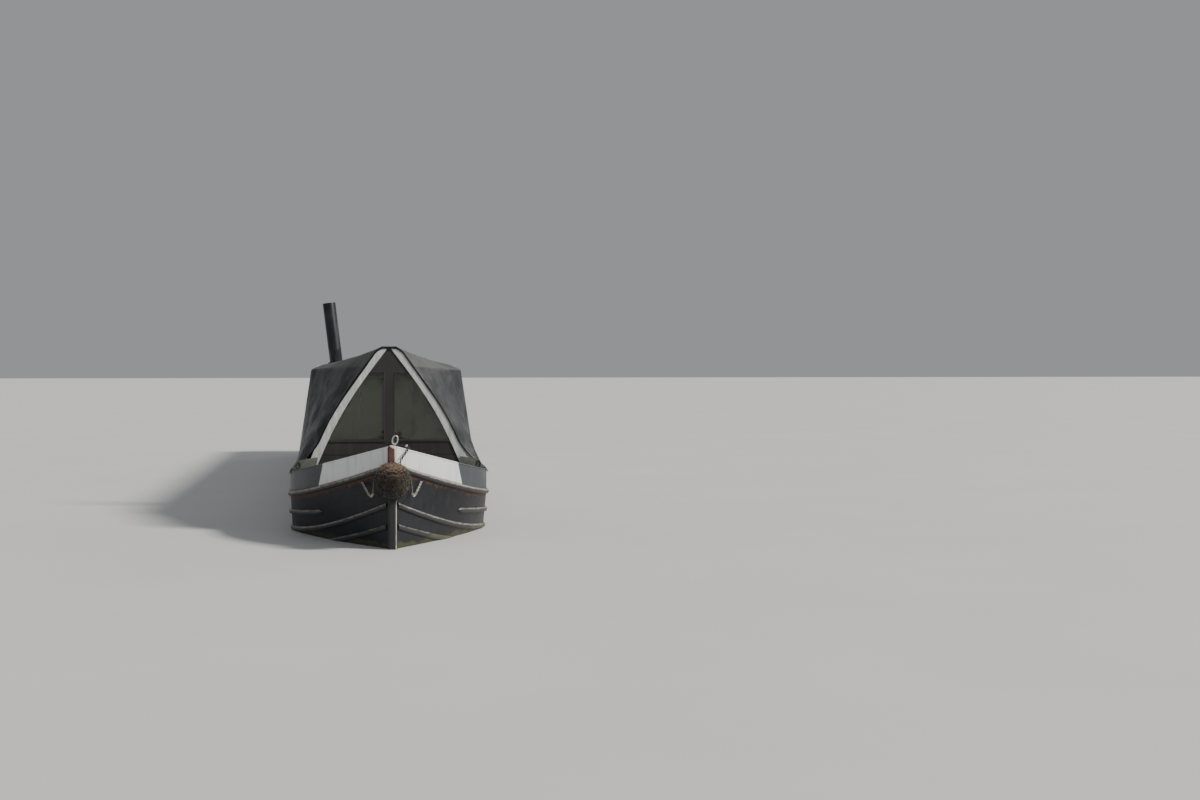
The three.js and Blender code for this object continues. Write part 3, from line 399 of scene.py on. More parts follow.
def treeOf(*values):
    return next(value for value in values if isinstance(value, bpy.types.NodeSocket)).id_data


def maths(operation, a, b=0.0):
    return newNode(treeOf(a, b), "ShaderNodeMath", {0: a, 1: b}, operation=operation).outputs[0]


def times(a, b):
    return maths("MULTIPLY", a, b)


def minus(a, b):
    return maths("SUBTRACT", a, b)


def plus(first, *others):
    for other in others:
        first = maths("ADD", first, other)
    return first


def blended(share, a, b):
    return newNode(share.id_data, "ShaderNodeMix", {0: share, 6: a, 7: b}, data_type="RGBA").outputs[2]


def band(value, low, high, to=(0.0, 1.0)):
    # A smooth step from low to high.
    limits = {"Value": value, "From Min": low, "From Max": high, "To Min": to[0], "To Max": to[1]}
    made = newNode(value.id_data, "ShaderNodeMapRange", limits, interpolation_type="SMOOTHSTEP")
    return made.outputs["Result"]


def noise(vector, scale, detail=4.0, rough=0.55, distortion=0.0):
    shape = {"Vector": vector, "Scale": scale, "Detail": detail, "Roughness": rough, "Distortion": distortion}
    return newNode(vector.id_data, "ShaderNodeTexNoise", shape).outputs["Fac"]


def stretched(vector, scale):
    values = {"Vector": vector, "Scale": scale}
    return newNode(vector.id_data, "ShaderNodeMapping", values).outputs["Vector"]


def axes(vector):
    return newNode(vector.id_data, "ShaderNodeSeparateXYZ", {"Vector": vector}).outputs


def facing(coords):
    # The way the surface faces, as three values from -1 to 1.
    return axes(newNode(coords.id_data, "ShaderNodeNewGeometry").outputs["Normal"])


def tagged(coords, name):
    # A value that the piece's own points carry.
    return newNode(coords.id_data, "ShaderNodeAttribute", attribute_name=name).outputs["Fac"]


def shaderGroup(name, inputs, outputs):
    # Inputs and outputs are names with their kinds: Float, Color or Vector.
    tree = bpy.data.node_groups.new(name, "ShaderNodeTree")
    for way, sockets in (("INPUT", inputs), ("OUTPUT", outputs)):
        for label, kind in sockets.items():
            tree.interface.new_socket(label, in_out=way, socket_type="NodeSocket" + kind)
    return tree, tree.nodes.new("NodeGroupInput").outputs, tree.nodes.new("NodeGroupOutput").inputs


def useGroup(group, values):
    return newNode(treeOf(*values.values()), "ShaderNodeGroup", values, node_tree=group).outputs


def makeWeatherGroup():
    # Paint that has aged: cloudy fading, vertical dirt runs and small chips, with a height.
    tree, given, out = shaderGroup("agedPaint", {
        "Vector": "Vector", "Paint": "Color", "Faded": "Color", "Dirt": "Color",
        "Fading": "Float", "Runs": "Float", "Chips": "Float", "Gloss": "Float",
    }, {"Color": "Color", "Roughness": "Float", "Height": "Float"})
    coords = given["Vector"]
    fineClouds = noise(coords, 19.0, 5.0, 0.65)
    fade = times(band(noise(coords, 2.3, 6.0, 0.62), 0.36, 0.72), given["Fading"])
    fade = times(fade, band(fineClouds, 0.1, 0.75, (0.55, 1.0)))
    runs = noise(stretched(coords, (9.0, 9.0, 0.7)), 2.2, 5.0, 0.6)
    runs = times(band(runs, 0.5, 0.74), given["Runs"])
    chips = times(band(noise(coords, 46.0, 3.0, 0.5), 0.66, 0.72), given["Chips"])
    colour = blended(fade, given["Paint"], given["Faded"])
    colour = blended(runs, colour, given["Dirt"])
    put(blended(chips, colour, given["Dirt"]), out["Color"])
    rough = plus(given["Gloss"], times(fade, 0.22), times(runs, 0.18), times(fineClouds, 0.08))
    put(rough, out["Roughness"])
    put(minus(times(fineClouds, 0.3), chips), out["Height"])
    return tree


def makeRustGroup():
    # Rust that spreads where it is told to: dark red-brown blooms with orange patches.
    tree, given, out = shaderGroup("rustBloom", {
        "Vector": "Vector", "Color": "Color", "Where": "Float", "Amount": "Float",
    }, {"Color": "Color", "Mask": "Float"})
    level = plus(noise(given["Vector"], 13.0, 7.0, 0.66), times(given["Where"], 0.34))
    mask = times(band(level, 0.66, 0.8), given["Amount"])
    hue = noise(given["Vector"], 41.0, 5.0, 0.6)
    rust = blended(band(hue, 0.35, 0.7), (0.10, 0.035, 0.015), (0.30, 0.115, 0.035))
    put(blended(mask, given["Color"], rust), out["Color"])
    put(mask, out["Mask"])
    return tree


def makeGrainGroup():
    # Timber: long growth rings along one axis, fine pores and a few dark checks.
    tree, given, out = shaderGroup("timberGrain", {
        "Vector": "Vector", "Light": "Color", "Dark": "Color", "Checks": "Float",
    }, {"Color": "Color", "Height": "Float"})
    rings = noise(given["Vector"], 3.0, 6.0, 0.6, 1.2)
    pores = noise(stretched(given["Vector"], (5.0, 5.0, 5.0)), 9.0, 4.0, 0.7)
    share = plus(times(rings, 0.75), times(pores, 0.35))
    colour = blended(band(share, 0.36, 0.72), given["Light"], given["Dark"])
    checks = times(band(pores, 0.64, 0.7), given["Checks"])
    put(blended(checks, colour, (0.03, 0.028, 0.025)), out["Color"])
    put(minus(share, checks), out["Height"])
    return tree


agedPaint = makeWeatherGroup()
rustBloom = makeRustGroup()
timberGrain = makeGrainGroup()


def aged(coords, paint, faded, dirt, fading, runs, chips, gloss):
    return useGroup(agedPaint, {
        "Vector": coords, "Paint": paint, "Faded": faded, "Dirt": dirt,
        "Fading": fading, "Runs": runs, "Chips": chips, "Gloss": gloss,
    })


def rusted(coords, colour, where, amount):
    return useGroup(rustBloom, {"Vector": coords, "Color": colour, "Where": where, "Amount": amount})


def newMaterial(name, **values):
    # A material, its shader's sockets and the piece's own coordinates.
    material = bpy.data.materials.new(name)
    material.use_nodes = True
    shader = material.node_tree.nodes["Principled BSDF"].inputs
    for key, value in values.items():
        shader[key.replace("_", " ")].default_value = value
    return material, shader, newNode(material.node_tree, "ShaderNodeTexCoord").outputs["Object"]


def coatWith(shader, colour, rough, height, strength, distance=0.002):
    # Gives a shader its colour, its roughness if that varies, and its bumps.
    put(colour, shader["Base Color"])
    if rough is not None:
        put(rough, shader["Roughness"])
    bump = {"Height": height, "Strength": strength, "Distance": distance}
    put(newNode(height.id_data, "ShaderNodeBump", bump).outputs["Normal"], shader["Normal"])


def paintMaterial(name, paint, faded, gloss=0.4, fading=0.5, runs=0.3, chips=0.15,
                  dirt=(0.05, 0.045, 0.035), coat=0.0):
    material, shader, coords = newMaterial(name, Coat_Weight=coat, Coat_Roughness=0.15)
    skin = aged(coords, paint, faded, dirt, fading, runs, chips, gloss)
    coatWith(shader, skin["Color"], skin["Roughness"], skin["Height"], 0.25)
    return material


def timberMaterial(name, light, dark, stretch, gloss=0.55, checks=0.2, coat=0.0):
    material, shader, coords = newMaterial(name, Roughness=gloss, Coat_Weight=coat, Coat_Roughness=0.2)
    grain = useGroup(timberGrain, {
        "Vector": stretched(coords, stretch), "Light": light, "Dark": dark, "Checks": checks,
    })
    coatWith(shader, grain["Color"], None, grain["Height"], 0.3, 0.0015)
    return material


def metalMaterial(name, colour, tarnish, gloss, tarnishing):
    material, shader, coords = newMaterial(name, Metallic=1.0)
    clouds = noise(coords, 14.0, 6.0, 0.6)
    share = times(band(clouds, 0.4, 0.7), tarnishing)
    scratches = noise(stretched(coords, (60.0, 60.0, 9.0)), 6.0, 3.0, 0.6)
    rough = plus(times(share, 0.3), gloss, times(scratches, 0.12))
    coatWith(shader, blended(share, colour, tarnish), rough, clouds, 0.12)
    return material


# Hull lines, the same as the solids'. Each level: height amidships, half breadth, length and
# power of the bow's curve, and how far the stem's back stands behind its face there.
hull = {
    "stem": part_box("stem_post")[1].x,
    "postHalf": 0.045,
    "wall": 0.045,
    "half": 1.0415,
    "base": (0.0103, 1.020, 2.6, 1.5, 0.29),
    "split": (0.566, 1.034, 2.05, 1.4, 0.10),
    "guard": (0.985, 1.0415, 1.7, 1.8, 0.08),
    "top": (1.220, 1.0415, 1.7, 1.8, 0.08),
    "topRise": (0.335, 1.8, 1.8),  # rise, length and power of the sheer
    "guardRise": (0.375, 2.0, 2.3),
    "swim": (-5.4, -7.6),
    "counterFront": -7.687,
    "seam": 0.0003,  # between the side's plating and the counter's
    "dents": 0.0016,
}
deckHeight = hull["top"][0]  # amidships
bowShares = np.linspace(0, 1, 49)


def lineHeight(z, line, fromStem):
    rise, length, power = line
    return z + rise * np.maximum(0, 1 - fromStem / length) ** power


def bowPoint(level, share, inset=0.0):
    # A point on a level's plan curve, y = half - growth * (1 - share) ^ power: share 0 at the
    # stem, 1 where it meets the side. Gives x, y, the distance from the stem and the way out.
    z, half, curve, power, rake = hull[level]
    growth = half - hull["postHalf"]
    left = 1 - share
    slope = power * growth * left ** (power - 1) / curve
    long = np.sqrt(1 + slope ** 2)
    fromStem = curve * share
    x = hull["stem"] - rake - fromStem - inset * slope / long
    y = half - growth * left ** power - inset / long
    return x, y, fromStem, slope / long, 1 / long


def levelHeight(level, fromStem):
    z = hull[level][0]
    if level + "Rise" in hull:
        return lineHeight(z, hull[level + "Rise"], fromStem)
    return np.full_like(fromStem, z)


def bowEnd(level):
    # Where a level's curve meets the straight side.
    return bowPoint(level, np.array([1.0]))[0][0]


def levelCurve(level, inset, shares, aft):
    # One level from the stem aft: the bow's arc, then the points of aft as (x, half breadth).
    x, y, fromStem, _, _ = bowPoint(level, shares, inset)
    z = levelHeight(level, fromStem)
    aftX, aftHalf = aft(level, inset)
    tail = np.column_stack([aftX, aftHalf, np.full(len(aftX), hull[level][0])])
    return np.vstack([np.column_stack([x, y, z]), tail])


def straightAft(level, inset):
    x = np.linspace(bowEnd(level), hull["counterFront"] + hull["seam"], 60)[1:]
    return x, np.full(len(x), hull[level][1] - inset)


def swimAft(level, inset):
    # Straight, then half a cosine in to the stern post: post + (half - post) * (1 + cos(pi *
    # share)) / 2.
    start, end = hull["swim"]
    middle = np.linspace(bowEnd(level), start, 44)[1:]
    x = np.concatenate([middle, np.linspace(start, end, 30)[1:]])
    share = np.clip((start - x) / (start - end), 0, 1)
    half = hull["postHalf"] + (hull[level][1] - hull["postHalf"]) * (0.5 + 0.5 * np.cos(np.pi * share))
    return x, np.maximum(half - inset, 0.0004)


def betweenLevels(levels, inset, shares, aft, steps):
    # Straight plating between levels, as a grid from the stem aft by rows up the side.
    curves = [levelCurve(level, inset, shares, aft) for level in levels]
    t = np.linspace(0, 1, steps + 1)[:-1][None, :, None]
    strips = [
        low[:, None, :] * (1 - t) + high[:, None, :] * t for low, high in zip(curves, curves[1:])
    ]
    return np.concatenate([*strips, curves[-1][:, None, :]], axis=1)


def dented(grid, amount, seed):
    # Plating pushed in a little between its frames, fading out along the rims.
    rows, columns = grid.shape[:2]
    u = np.minimum(1, np.minimum(np.arange(rows), np.arange(rows)[::-1]) / 3)[:, None]
    v = np.minimum(1, np.minimum(np.arange(columns), np.arange(columns)[::-1]) / 2)[None, :]
    grid = grid.copy()
    grid[..., 1] -= amount * (0.5 + 0.5 * ripple(grid, 5.0, seed)) * u * v
    return grid


def levelAt(level, share):
    x, y, fromStem, outX, outY = bowPoint(level, share)
    return x, y, levelHeight(level, fromStem), outX, outY


def skinPoint(share, height):
    # The outside of the bow at a height, on the straight plating between two levels.
    levels = [levelAt(level, share) for level in ("base", "split", "guard", "top")]
    x, y, z, outX, outY = (np.stack(values) for values in zip(*levels))
    k = (height > z[1]).astype(int) + (height > z[2]).astype(int)
    pick = np.arange(len(share))
    t = (height - z[k, pick]) / (z[k + 1, pick] - z[k, pick])

    def mix(a):
        return a[k, pick] + (a[k + 1, pick] - a[k, pick]) * t

    return np.column_stack([mix(x), mix(y), height]), np.column_stack([mix(outX), mix(outY), 0 * height])


def behindTop(x):
    # How far a place lies behind the top edge's start at the stem.
    return hull["stem"] - hull["top"][4] - x


def sideHalfAt(x):
    # Half breadth of the hull's top edge at x.
    return bowPoint("top", np.clip(behindTop(x) / hull["top"][2], 0, 1))[1]


def edgeHeight(x):
    return lineHeight(deckHeight, hull["topRise"], behindTop(x))


# Paints and finishes

def aboveStrake(place):
    # Height of a point above the top rubbing strake: z - (height + rise * (1 - s / length) ^
    # power), where s is its distance behind the stem.
    rise, length, power = hull["guardRise"]
    share = maths("DIVIDE", minus(hull["stem"] - hull["guard"][4], place["X"]), length)
    share = maths("MAXIMUM", minus(1.0, share), 0.0)
    return minus(place["Z"], plus(times(maths("POWER", share, power), rise), hull["guard"][0]))


def makeHullPaint():
    # Tarred plating: white bow panel over the top strake, a grey stretch behind it that also paints the
    # panel's shade there, a little rust under the strake, moss at the water, dull fouling below and long
    # scrapes.
    material, shader, coords = newMaterial("blackedHull", Specular_IOR_Level=0.2)
    place = axes(coords)
    above = aboveStrake(place)
    tar = aged(coords, (0.010, 0.011, 0.014), (0.026, 0.028, 0.033), (0.050, 0.044, 0.036),
               0.8, 0.4, 0.25, 0.34)
    panel = aged(coords, (0.68, 0.69, 0.69), (0.58, 0.59, 0.59), (0.22, 0.21, 0.19),
                 0.6, 0.35, 0.4, 0.40)
    ragged = noise(coords, 7.0, 5.0, 0.6)
    overStrake = band(plus(above, times(ragged, 0.012)), 0.030, 0.042)
    ahead = minus(plus(place["X"], times(ragged, 0.012)), times(above, 0.35))
    onPanel = times(overStrake, band(ahead, 7.796, 7.806))
    # Grey over the strake behind the white panel, fading darker aft: painted shade of the panel there.
    greyAndShade = blended(band(place["X"], 7.7, 6.2), (0.070, 0.080, 0.088), (0.026, 0.029, 0.033))
    greyAndShade = blended(times(ragged, 0.45), greyAndShade, (0.036, 0.040, 0.044))
    colour = blended(overStrake, tar["Color"], greyAndShade)
    colour = blended(onPanel, colour, panel["Color"])
    scrape = noise(stretched(coords, (0.6, 0.6, 22.0)), 3.0, 5.0, 0.65)
    scrape = times(times(band(scrape, 0.6, 0.72), 0.38), minus(1.0, onPanel))
    colour = blended(scrape, colour, (0.064, 0.067, 0.072))
    near = times(band(above, -0.11, -0.02), band(above, 0.05, 0.03))
    where = maths("MAXIMUM", near, times(band(place["Z"], 0.66, 0.58), 0.7))
    rusty = rusted(coords, colour, where, 0.30)
    mossy = plus(noise(coords, 5.0, 6.0, 0.66), band(place["Z"], 0.72, 0.57, (-0.25, 0.18)))
    colour = blended(band(mossy, 0.52, 0.64), rusty["Color"], (0.050, 0.051, 0.027))
    slime = blended(ragged, (0.045, 0.06, 0.035), (0.10, 0.065, 0.04))
    colour = blended(times(band(place["Z"], 0.56, 0.48), 0.8), colour, slime)
    rough = maths("MINIMUM", plus(tar["Roughness"], times(rusty["Mask"], 0.3)), 0.95)
    plates = times(noise(coords, 1.6, 2.0, 0.4), 6.0)
    height = plus(plates, tar["Height"], times(rusty["Mask"], 0.6))
    coatWith(shader, colour, rough, height, 0.35, 0.003)
    return material


def makeGuardPaint():
    # Rubbing strakes: tar below and in the corners, the upper face paler, partly painted light from above and
    # partly rubbed to pale steel by as much as the piece's own scuff says, brown patches and moss near the
    # water.
    material, shader, coords = newMaterial("scuffedLitStrake")
    scuffs = noise(stretched(coords, (1.6, 1.6, 9.0)), 5.0, 6.0, 0.62)
    # Faces turned up count towards the pale steel: painted light from above, added to the real wear and
    # scuffs.
    level = times(band(facing(coords)["Z"], -0.25, 0.55), 0.42)
    level = plus(level, times(tagged(coords, "wear"), 0.16), times(tagged(coords, "scuff"), 0.34))
    litAndBare = band(plus(level, times(scuffs, 0.7)), 0.88, 1.22)
    hue = noise(coords, 24.0, 5.0, 0.6)
    patches = noise(coords, 3.0, 5.0, 0.6)
    metal = blended(band(hue, 0.38, 0.66), (0.30, 0.285, 0.255), (0.20, 0.165, 0.135))
    metal = blended(times(band(patches, 0.52, 0.66), 0.6), metal, (0.15, 0.085, 0.055))
    paint = blended(hue, (0.012, 0.013, 0.016), (0.036, 0.037, 0.040))
    green = plus(patches, band(axes(coords)["Z"], 0.74, 0.58, (-0.3, 0.16)))
    green = times(band(green, 0.5, 0.62), 0.75)
    colour = blended(green, blended(litAndBare, paint, metal), (0.075, 0.076, 0.042))
    put(times(litAndBare, 0.2), shader["Metallic"])
    coatWith(shader, colour, plus(0.36, times(hue, 0.3)), plus(hue, scuffs), 0.5, 0.003)
    return material


def makeStemPaint():
    # The stem's head: dark red oxide in front, pale pink-white on top and on the port side as painted
    # sunlight. Below the top strake black, with a painted highlight down the port corner.
    material, shader, coords = newMaterial("stemOxide")
    place, way = axes(coords), facing(coords)
    ragged = noise(coords, 9.0, 5.0, 0.6)
    oxide = aged(coords, (0.060, 0.020, 0.016), (0.130, 0.048, 0.036), (0.022, 0.014, 0.011),
                 0.8, 0.4, 0.6, 0.5)
    # Painted sunlight: faces turned up or to port, and the port half of the head, go pale pink-white.
    sunlitPink = blended(ragged, (0.62, 0.54, 0.52), (0.44, 0.30, 0.27))
    sunlitFaces = plus(maths("MAXIMUM", way["Y"], way["Z"]), times(ragged, 0.3), times(place["Y"], 14.0))
    colour = blended(band(sunlitFaces, 0.50, 0.80), oxide["Color"], sunlitPink)
    low = band(plus(aboveStrake(place), times(ragged, 0.05)), 0.04, -0.02)
    colour = blended(low, colour, (0.014, 0.015, 0.017))
    # Painted highlight: a pale line on the port corner's rounding, below the top strake.
    corner = plus(times(way["Y"], way["X"]), times(ragged, 0.12))
    colour = blended(times(band(corner, 0.51, 0.56), low), colour, (0.42, 0.38, 0.32))
    coatWith(shader, colour, oxide["Roughness"], oxide["Height"], 0.5, 0.003)
    return material


def makeDeckPaint(name, paint, faded, grit):
    # Anti-slip paint: grit rolled into it, trodden smooth and dirty in places.
    material, shader, coords = newMaterial(name)
    skin = aged(coords, paint, faded, (0.07, 0.06, 0.05), 0.7, 0.0, 0.4, 0.55)
    sand = newNode(coords.id_data, "ShaderNodeTexVoronoi", {"Vector": coords, "Scale": grit})
    puddle = times(band(noise(coords, 3.4, 5.0, 0.6), 0.52, 0.66), 0.35)
    colour = blended(puddle, skin["Color"], (0.10, 0.10, 0.085))
    height = minus(skin["Height"], sand.outputs["Distance"])
    coatWith(shader, colour, skin["Roughness"], height, 0.35, 0.0012)
    return material


def makeCanvas():
    # Coated canvas: a fine weave along the piece's own map, tar-black and satin on the flanks,
    # light grey over the crown as painted sunlight on its top facets, with pale rubbed creases and a green
    # cast in places.
    material, shader, coords = newMaterial(
        "coatedCanvas", Specular_IOR_Level=0.16, Sheen_Weight=0.02, Sheen_Roughness=0.4,
    )
    tree = coords.id_data
    cloth = newNode(tree, "ShaderNodeUVMap", uv_map="along").outputs["UV"]
    threads = {"Vector": cloth, "Scale": 110.0, "Distortion": 0.6}
    warp, weft = (
        newNode(tree, "ShaderNodeTexWave", threads, bands_direction=way).outputs["Fac"] for way in "XY"
    )
    clouds = noise(coords, 3.2, 6.0, 0.62)
    creases = noise(stretched(coords, (2.2, 2.2, 1.2)), 4.5, 7.0, 0.7, 1.4)
    rubbed = band(maths("ABSOLUTE", minus(creases, 0.5)), 0.022, 0.0)
    dusty = band(clouds, 0.42, 0.72)
    colour = blended(times(dusty, 0.5), (0.0075, 0.0080, 0.0092), (0.022, 0.023, 0.026))
    colour = blended(times(rubbed, 0.22), colour, (0.060, 0.062, 0.067))
    # The crown's light grey is painted sunlight on the top facets, lighter than the flanks.
    paintedSunlight = times(band(tagged(coords, "crown"), 0.2, 0.8), band(clouds, 0.2, 0.7, (1.0, 0.72)))
    colour = blended(paintedSunlight, colour, (0.110, 0.113, 0.107))
    green = noise(stretched(coords, (4.0, 4.0, 0.8)), 1.8, 4.0, 0.6)
    colour = blended(times(band(green, 0.58, 0.72), 0.25), colour, (0.040, 0.046, 0.030))
    rough = plus(0.28, times(dusty, 0.34), times(paintedSunlight, 0.35))
    height = minus(plus(times(times(warp, weft), 0.10), times(clouds, 2.4)), times(rubbed, 0.25))
    coatWith(shader, colour, rough, height, 0.55, 0.004)
    return material


def makeSkirtCanvas():
    # The lighter, mildewed strip of canvas tied round the cover's foot.
    material, shader, coords = newMaterial("mildewedCanvas", Roughness=0.7)
    clouds = noise(coords, 7.0, 6.0, 0.62)
    colour = blended(band(clouds, 0.35, 0.68), (0.120, 0.125, 0.106), (0.058, 0.065, 0.052))
    coatWith(shader, colour, None, clouds, 0.5, 0.004)
    return material


def makeRope(name, dark, light, topSunlight):
    # Coir: hairy fibres in clumps, paler on top as painted sunlight.
    material, shader, coords = newMaterial(name, Roughness=0.95, Sheen_Weight=0.15, Sheen_Roughness=0.6)
    fibres = noise(stretched(coords, (60.0, 60.0, 60.0)), 3.0, 6.0, 0.75, 2.0)
    # Faces turned up go towards the light colour: painted sunlight on the top.
    paintedSunlight = times(band(facing(coords)["Z"], 0.35, 0.95), topSunlight)
    share = plus(times(fibres, 0.45), times(noise(coords, 11.0, 4.0, 0.6), 0.4), paintedSunlight)
    coatWith(shader, blended(band(share, 0.42, 1.05), dark, light), None, fibres, 0.9, 0.003)
    return material


def makeGlass(name, tint, haze, clear):
    # Panes with a little dirt at random, which only changes the tint and the gloss.
    material, shader, coords = newMaterial(
        name, IOR=1.45, Transmission_Weight=clear, Coat_Weight=0.3, Coat_Roughness=0.05,
    )
    dirt = band(noise(coords, 6.0, 6.0, 0.65), 0.45, 0.75)
    coatWith(shader, blended(dirt, tint, haze), plus(0.03, times(dirt, 0.10)), dirt, 0.05, 0.0005)
    return material


def makeChimneyBlack():
    # Stove paint, sooty at the top and rusty at the foot.
    material, shader, coords = newMaterial("stovePipeBlack", Specular_IOR_Level=0.3)
    z = axes(coords)["Z"]
    skin = aged(coords, (0.009, 0.010, 0.014), (0.026, 0.029, 0.036), (0.09, 0.075, 0.06),
                0.7, 0.5, 0.3, 0.34)
    soot = band(plus(z, times(noise(coords, 9.0), 0.12)), 2.98, 3.16)
    colour = blended(times(soot, 0.8), skin["Color"], (0.006, 0.006, 0.006))
    rusty = rusted(coords, colour, band(z, 2.42, 2.30), 0.7)
    coatWith(shader, rusty["Color"], skin["Roughness"], skin["Height"], 0.3)
    return material


def makeChainSteel(name, steel, rusting):
    material, shader, coords = newMaterial(name, Metallic=0.45)
    rusty = rusted(coords, steel, 0.5, rusting)
    rough = plus(0.4, times(rusty["Mask"], 0.4))
    coatWith(shader, rusty["Color"], rough, rusty["Mask"], 0.6, 0.001)
    return material


hullPaint = makeHullPaint()
guardPaint = makeGuardPaint()
stemPaint = makeStemPaint()
deckPaint = makeDeckPaint("greyDeck", (0.26, 0.275, 0.28), (0.36, 0.37, 0.37), 260.0)
roofPaint = makeDeckPaint("greyRoof", (0.20, 0.215, 0.205), (0.30, 0.31, 0.295), 300.0)
creamPaint = paintMaterial(
    "creamCabin", (0.42, 0.40, 0.29), (0.50, 0.48, 0.38), gloss=0.34, fading=0.6, runs=0.5, chips=0.1,
    dirt=(0.16, 0.14, 0.09), coat=0.15,
)
greenPaint = paintMaterial(
    "greenDoor", (0.020, 0.040, 0.028), (0.045, 0.065, 0.050), gloss=0.34, fading=0.6, coat=0.2,
)
blackPaint = paintMaterial(
    "blackTimber", (0.011, 0.010, 0.010), (0.028, 0.025, 0.023), gloss=0.5, fading=0.7, runs=0.4,
    chips=0.3, dirt=(0.050, 0.042, 0.032),
)
castIron = paintMaterial("engineEnamel", (0.012, 0.013, 0.014), (0.05, 0.05, 0.052), runs=0.2, chips=0.3)
blackRubber = paintMaterial(
    "windowRubber", (0.012, 0.012, 0.012), (0.035, 0.035, 0.035), gloss=0.6, runs=0.0, chips=0.0,
)
paleTimber = timberMaterial("paleTimber", (0.60, 0.61, 0.60), (0.36, 0.36, 0.34), (6.0, 6.0, 1.2), checks=0.3)
plankTimber = timberMaterial(
    "varnishedPlank", (0.34, 0.20, 0.09), (0.13, 0.065, 0.03), (0.8, 9.0, 9.0), gloss=0.35, coat=0.3,
)
floorTimber = timberMaterial(
    "cabinFloor", (0.36, 0.24, 0.13), (0.17, 0.10, 0.055), (1.0, 8.0, 8.0), gloss=0.5, checks=0.1,
)
canvas = makeCanvas()
skirtCanvas = makeSkirtCanvas()
rope = makeRope("coirRope", (0.007, 0.0058, 0.0050), (0.155, 0.093, 0.046), 0.80)
paleRope = makeRope("wornLashing", (0.10, 0.085, 0.065), (0.40, 0.36, 0.30), 0.3)
cratchGlass = makeGlass("cratchPane", (0.33, 0.37, 0.27), (0.22, 0.25, 0.16), 0.95)
cabinGlass = makeGlass("cabinPane", (0.30, 0.34, 0.33), (0.20, 0.22, 0.21), 0.88)
chimneyBlack = makeChimneyBlack()
chainSteel = makeChainSteel("galvanisedChain", (0.42, 0.41, 0.38), 0.45)
darkChain = makeChainSteel("tarredChain", (0.050, 0.048, 0.046), 0.5)
brass = metalMaterial("polishedBrass", (0.78, 0.56, 0.24), (0.30, 0.20, 0.08), 0.22, 0.6)
bronze = metalMaterial("seaBronze", (0.62, 0.40, 0.20), (0.12, 0.20, 0.15), 0.35, 0.8)
aluminium = metalMaterial("dullAluminium", (0.62, 0.63, 0.64), (0.38, 0.39, 0.40), 0.38, 0.6)
wornSteel = metalMaterial("wornSteel", (0.50, 0.50, 0.50), (0.20, 0.13, 0.09), 0.36, 0.5)
print("finishes mixed")


# Hull

def makeHullSide(side):
    lower, upper = (
        [betweenLevels(levels, inset, bowShares, aft, steps) for inset in (0.0, hull["wall"])]
        for levels, aft, steps in (
            (("base", "split"), swimAft, 8),
            (("split", "guard", "top"), straightAft, 7),
        )
    )
    upper[0] = dented(upper[0], hull["dents"], 4)
    part = merged([slab(*lower), slab(*upper)])
    piece("hull_plating_" + side, sided(part, side), hullPaint,
          replaces=("hull_side_" + side,), smooth=24)


strakeRows = {  # height amidships, rise, length, power, first and last share, aft, how scuffed
    "top_strake": (0.985, 0.375, 2.0, 2.3, 0.0, 1.0, True, 0.95),
    "middle_strake": (0.755, 0.215, 2.6, 2.0, 0.48, 1.0, True, 0.55),
    "lower_strake": (0.590, 0.405, 2.0, 2.4, 0.0, 1.0, False, 0.75),
    "bottom_strake": (0.420, 0.366, 2.6, 2.8, 0.0, 0.62, False, 0.35),
}
strakeShape = {"out": 0.026, "half": 0.027, "root": 0.010, "taper": 0.05, "tip": 0.2, "knocks": 0.08}


def strakeProfile():
    # Half an oval standing on the plating, with its root inside it.
    t = np.linspace(-np.pi / 2, np.pi / 2, 11)
    out = strakeShape["out"] * np.sign(np.cos(t)) * np.abs(np.cos(t)) ** 0.8
    up = strakeShape["half"] * np.sin(t)
    root = [[-strakeShape["root"], way * strakeShape["half"]] for way in (1, -1)]
    return np.vstack([np.column_stack([out, up]), root])


def tapered(run):
    # A strake's size near its end: tip + (1 - tip) * sqrt(run / taper).
    tip = strakeShape["tip"]
    return tip + (1 - tip) * np.clip(run / strakeShape["taper"], 0, 1) ** 0.5


def makeStrake(name, row, side):
    z, rise, length, power, first, last, aft, scuff = row
    share = np.linspace(first, last, 60)
    fromStem = bowPoint("guard", share)[2]
    path, out = skinPoint(share, lineHeight(z, (rise, length, power), fromStem))
    if aft:
        x = np.linspace(path[-1, 0], hull["counterFront"] + hull["seam"], 40)[1:]
        tail = np.column_stack([x, np.full(len(x), hull["half"]), np.full(len(x), z)])
        path = np.vstack([path, tail])
        out = np.vstack([out, np.tile([0.0, 1.0, 0.0], (len(x), 1))])
    run = lengthAlong(path)
    size = np.ones(len(path))
    if first > 0:
        size = np.minimum(size, tapered(run))
    if not aft:
        size = np.minimum(size, tapered(run[-1] - run))
    profile = strakeProfile()
    knocks = 1 - strakeShape["knocks"] * np.abs(ripple(path, 9.0, 11))
    rings = (
        path[:, None, :]
        + (profile[None, :, 0] * (size * knocks)[:, None])[..., None] * unit(out)[:, None, :]
        + (profile[None, :, 1] * size[:, None])[..., None] * np.array([0.0, 0.0, 1.0])
    )
    wear = np.tile(np.clip(profile[:, 0] / strakeShape["out"], 0, 1), len(path))
    wear = np.concatenate([wear, [0.6, 0.6]])
    piece(
        name + "_" + side, sided(tube(rings), side), guardPaint,
        replaces=("hull_side_" + side,), smooth=50,
        tags={"wear": wear, "scuff": np.full(len(wear), scuff)},
    )


capping = {
    "half": 0.026, "rise": 0.012, "inset": 0.021, "below": 0.006,  # the bar on the bulwark
    "deckStart": 7.0467, "edge": 0.040, "wall": 0.868, "thick": 0.03,  # the side deck
}


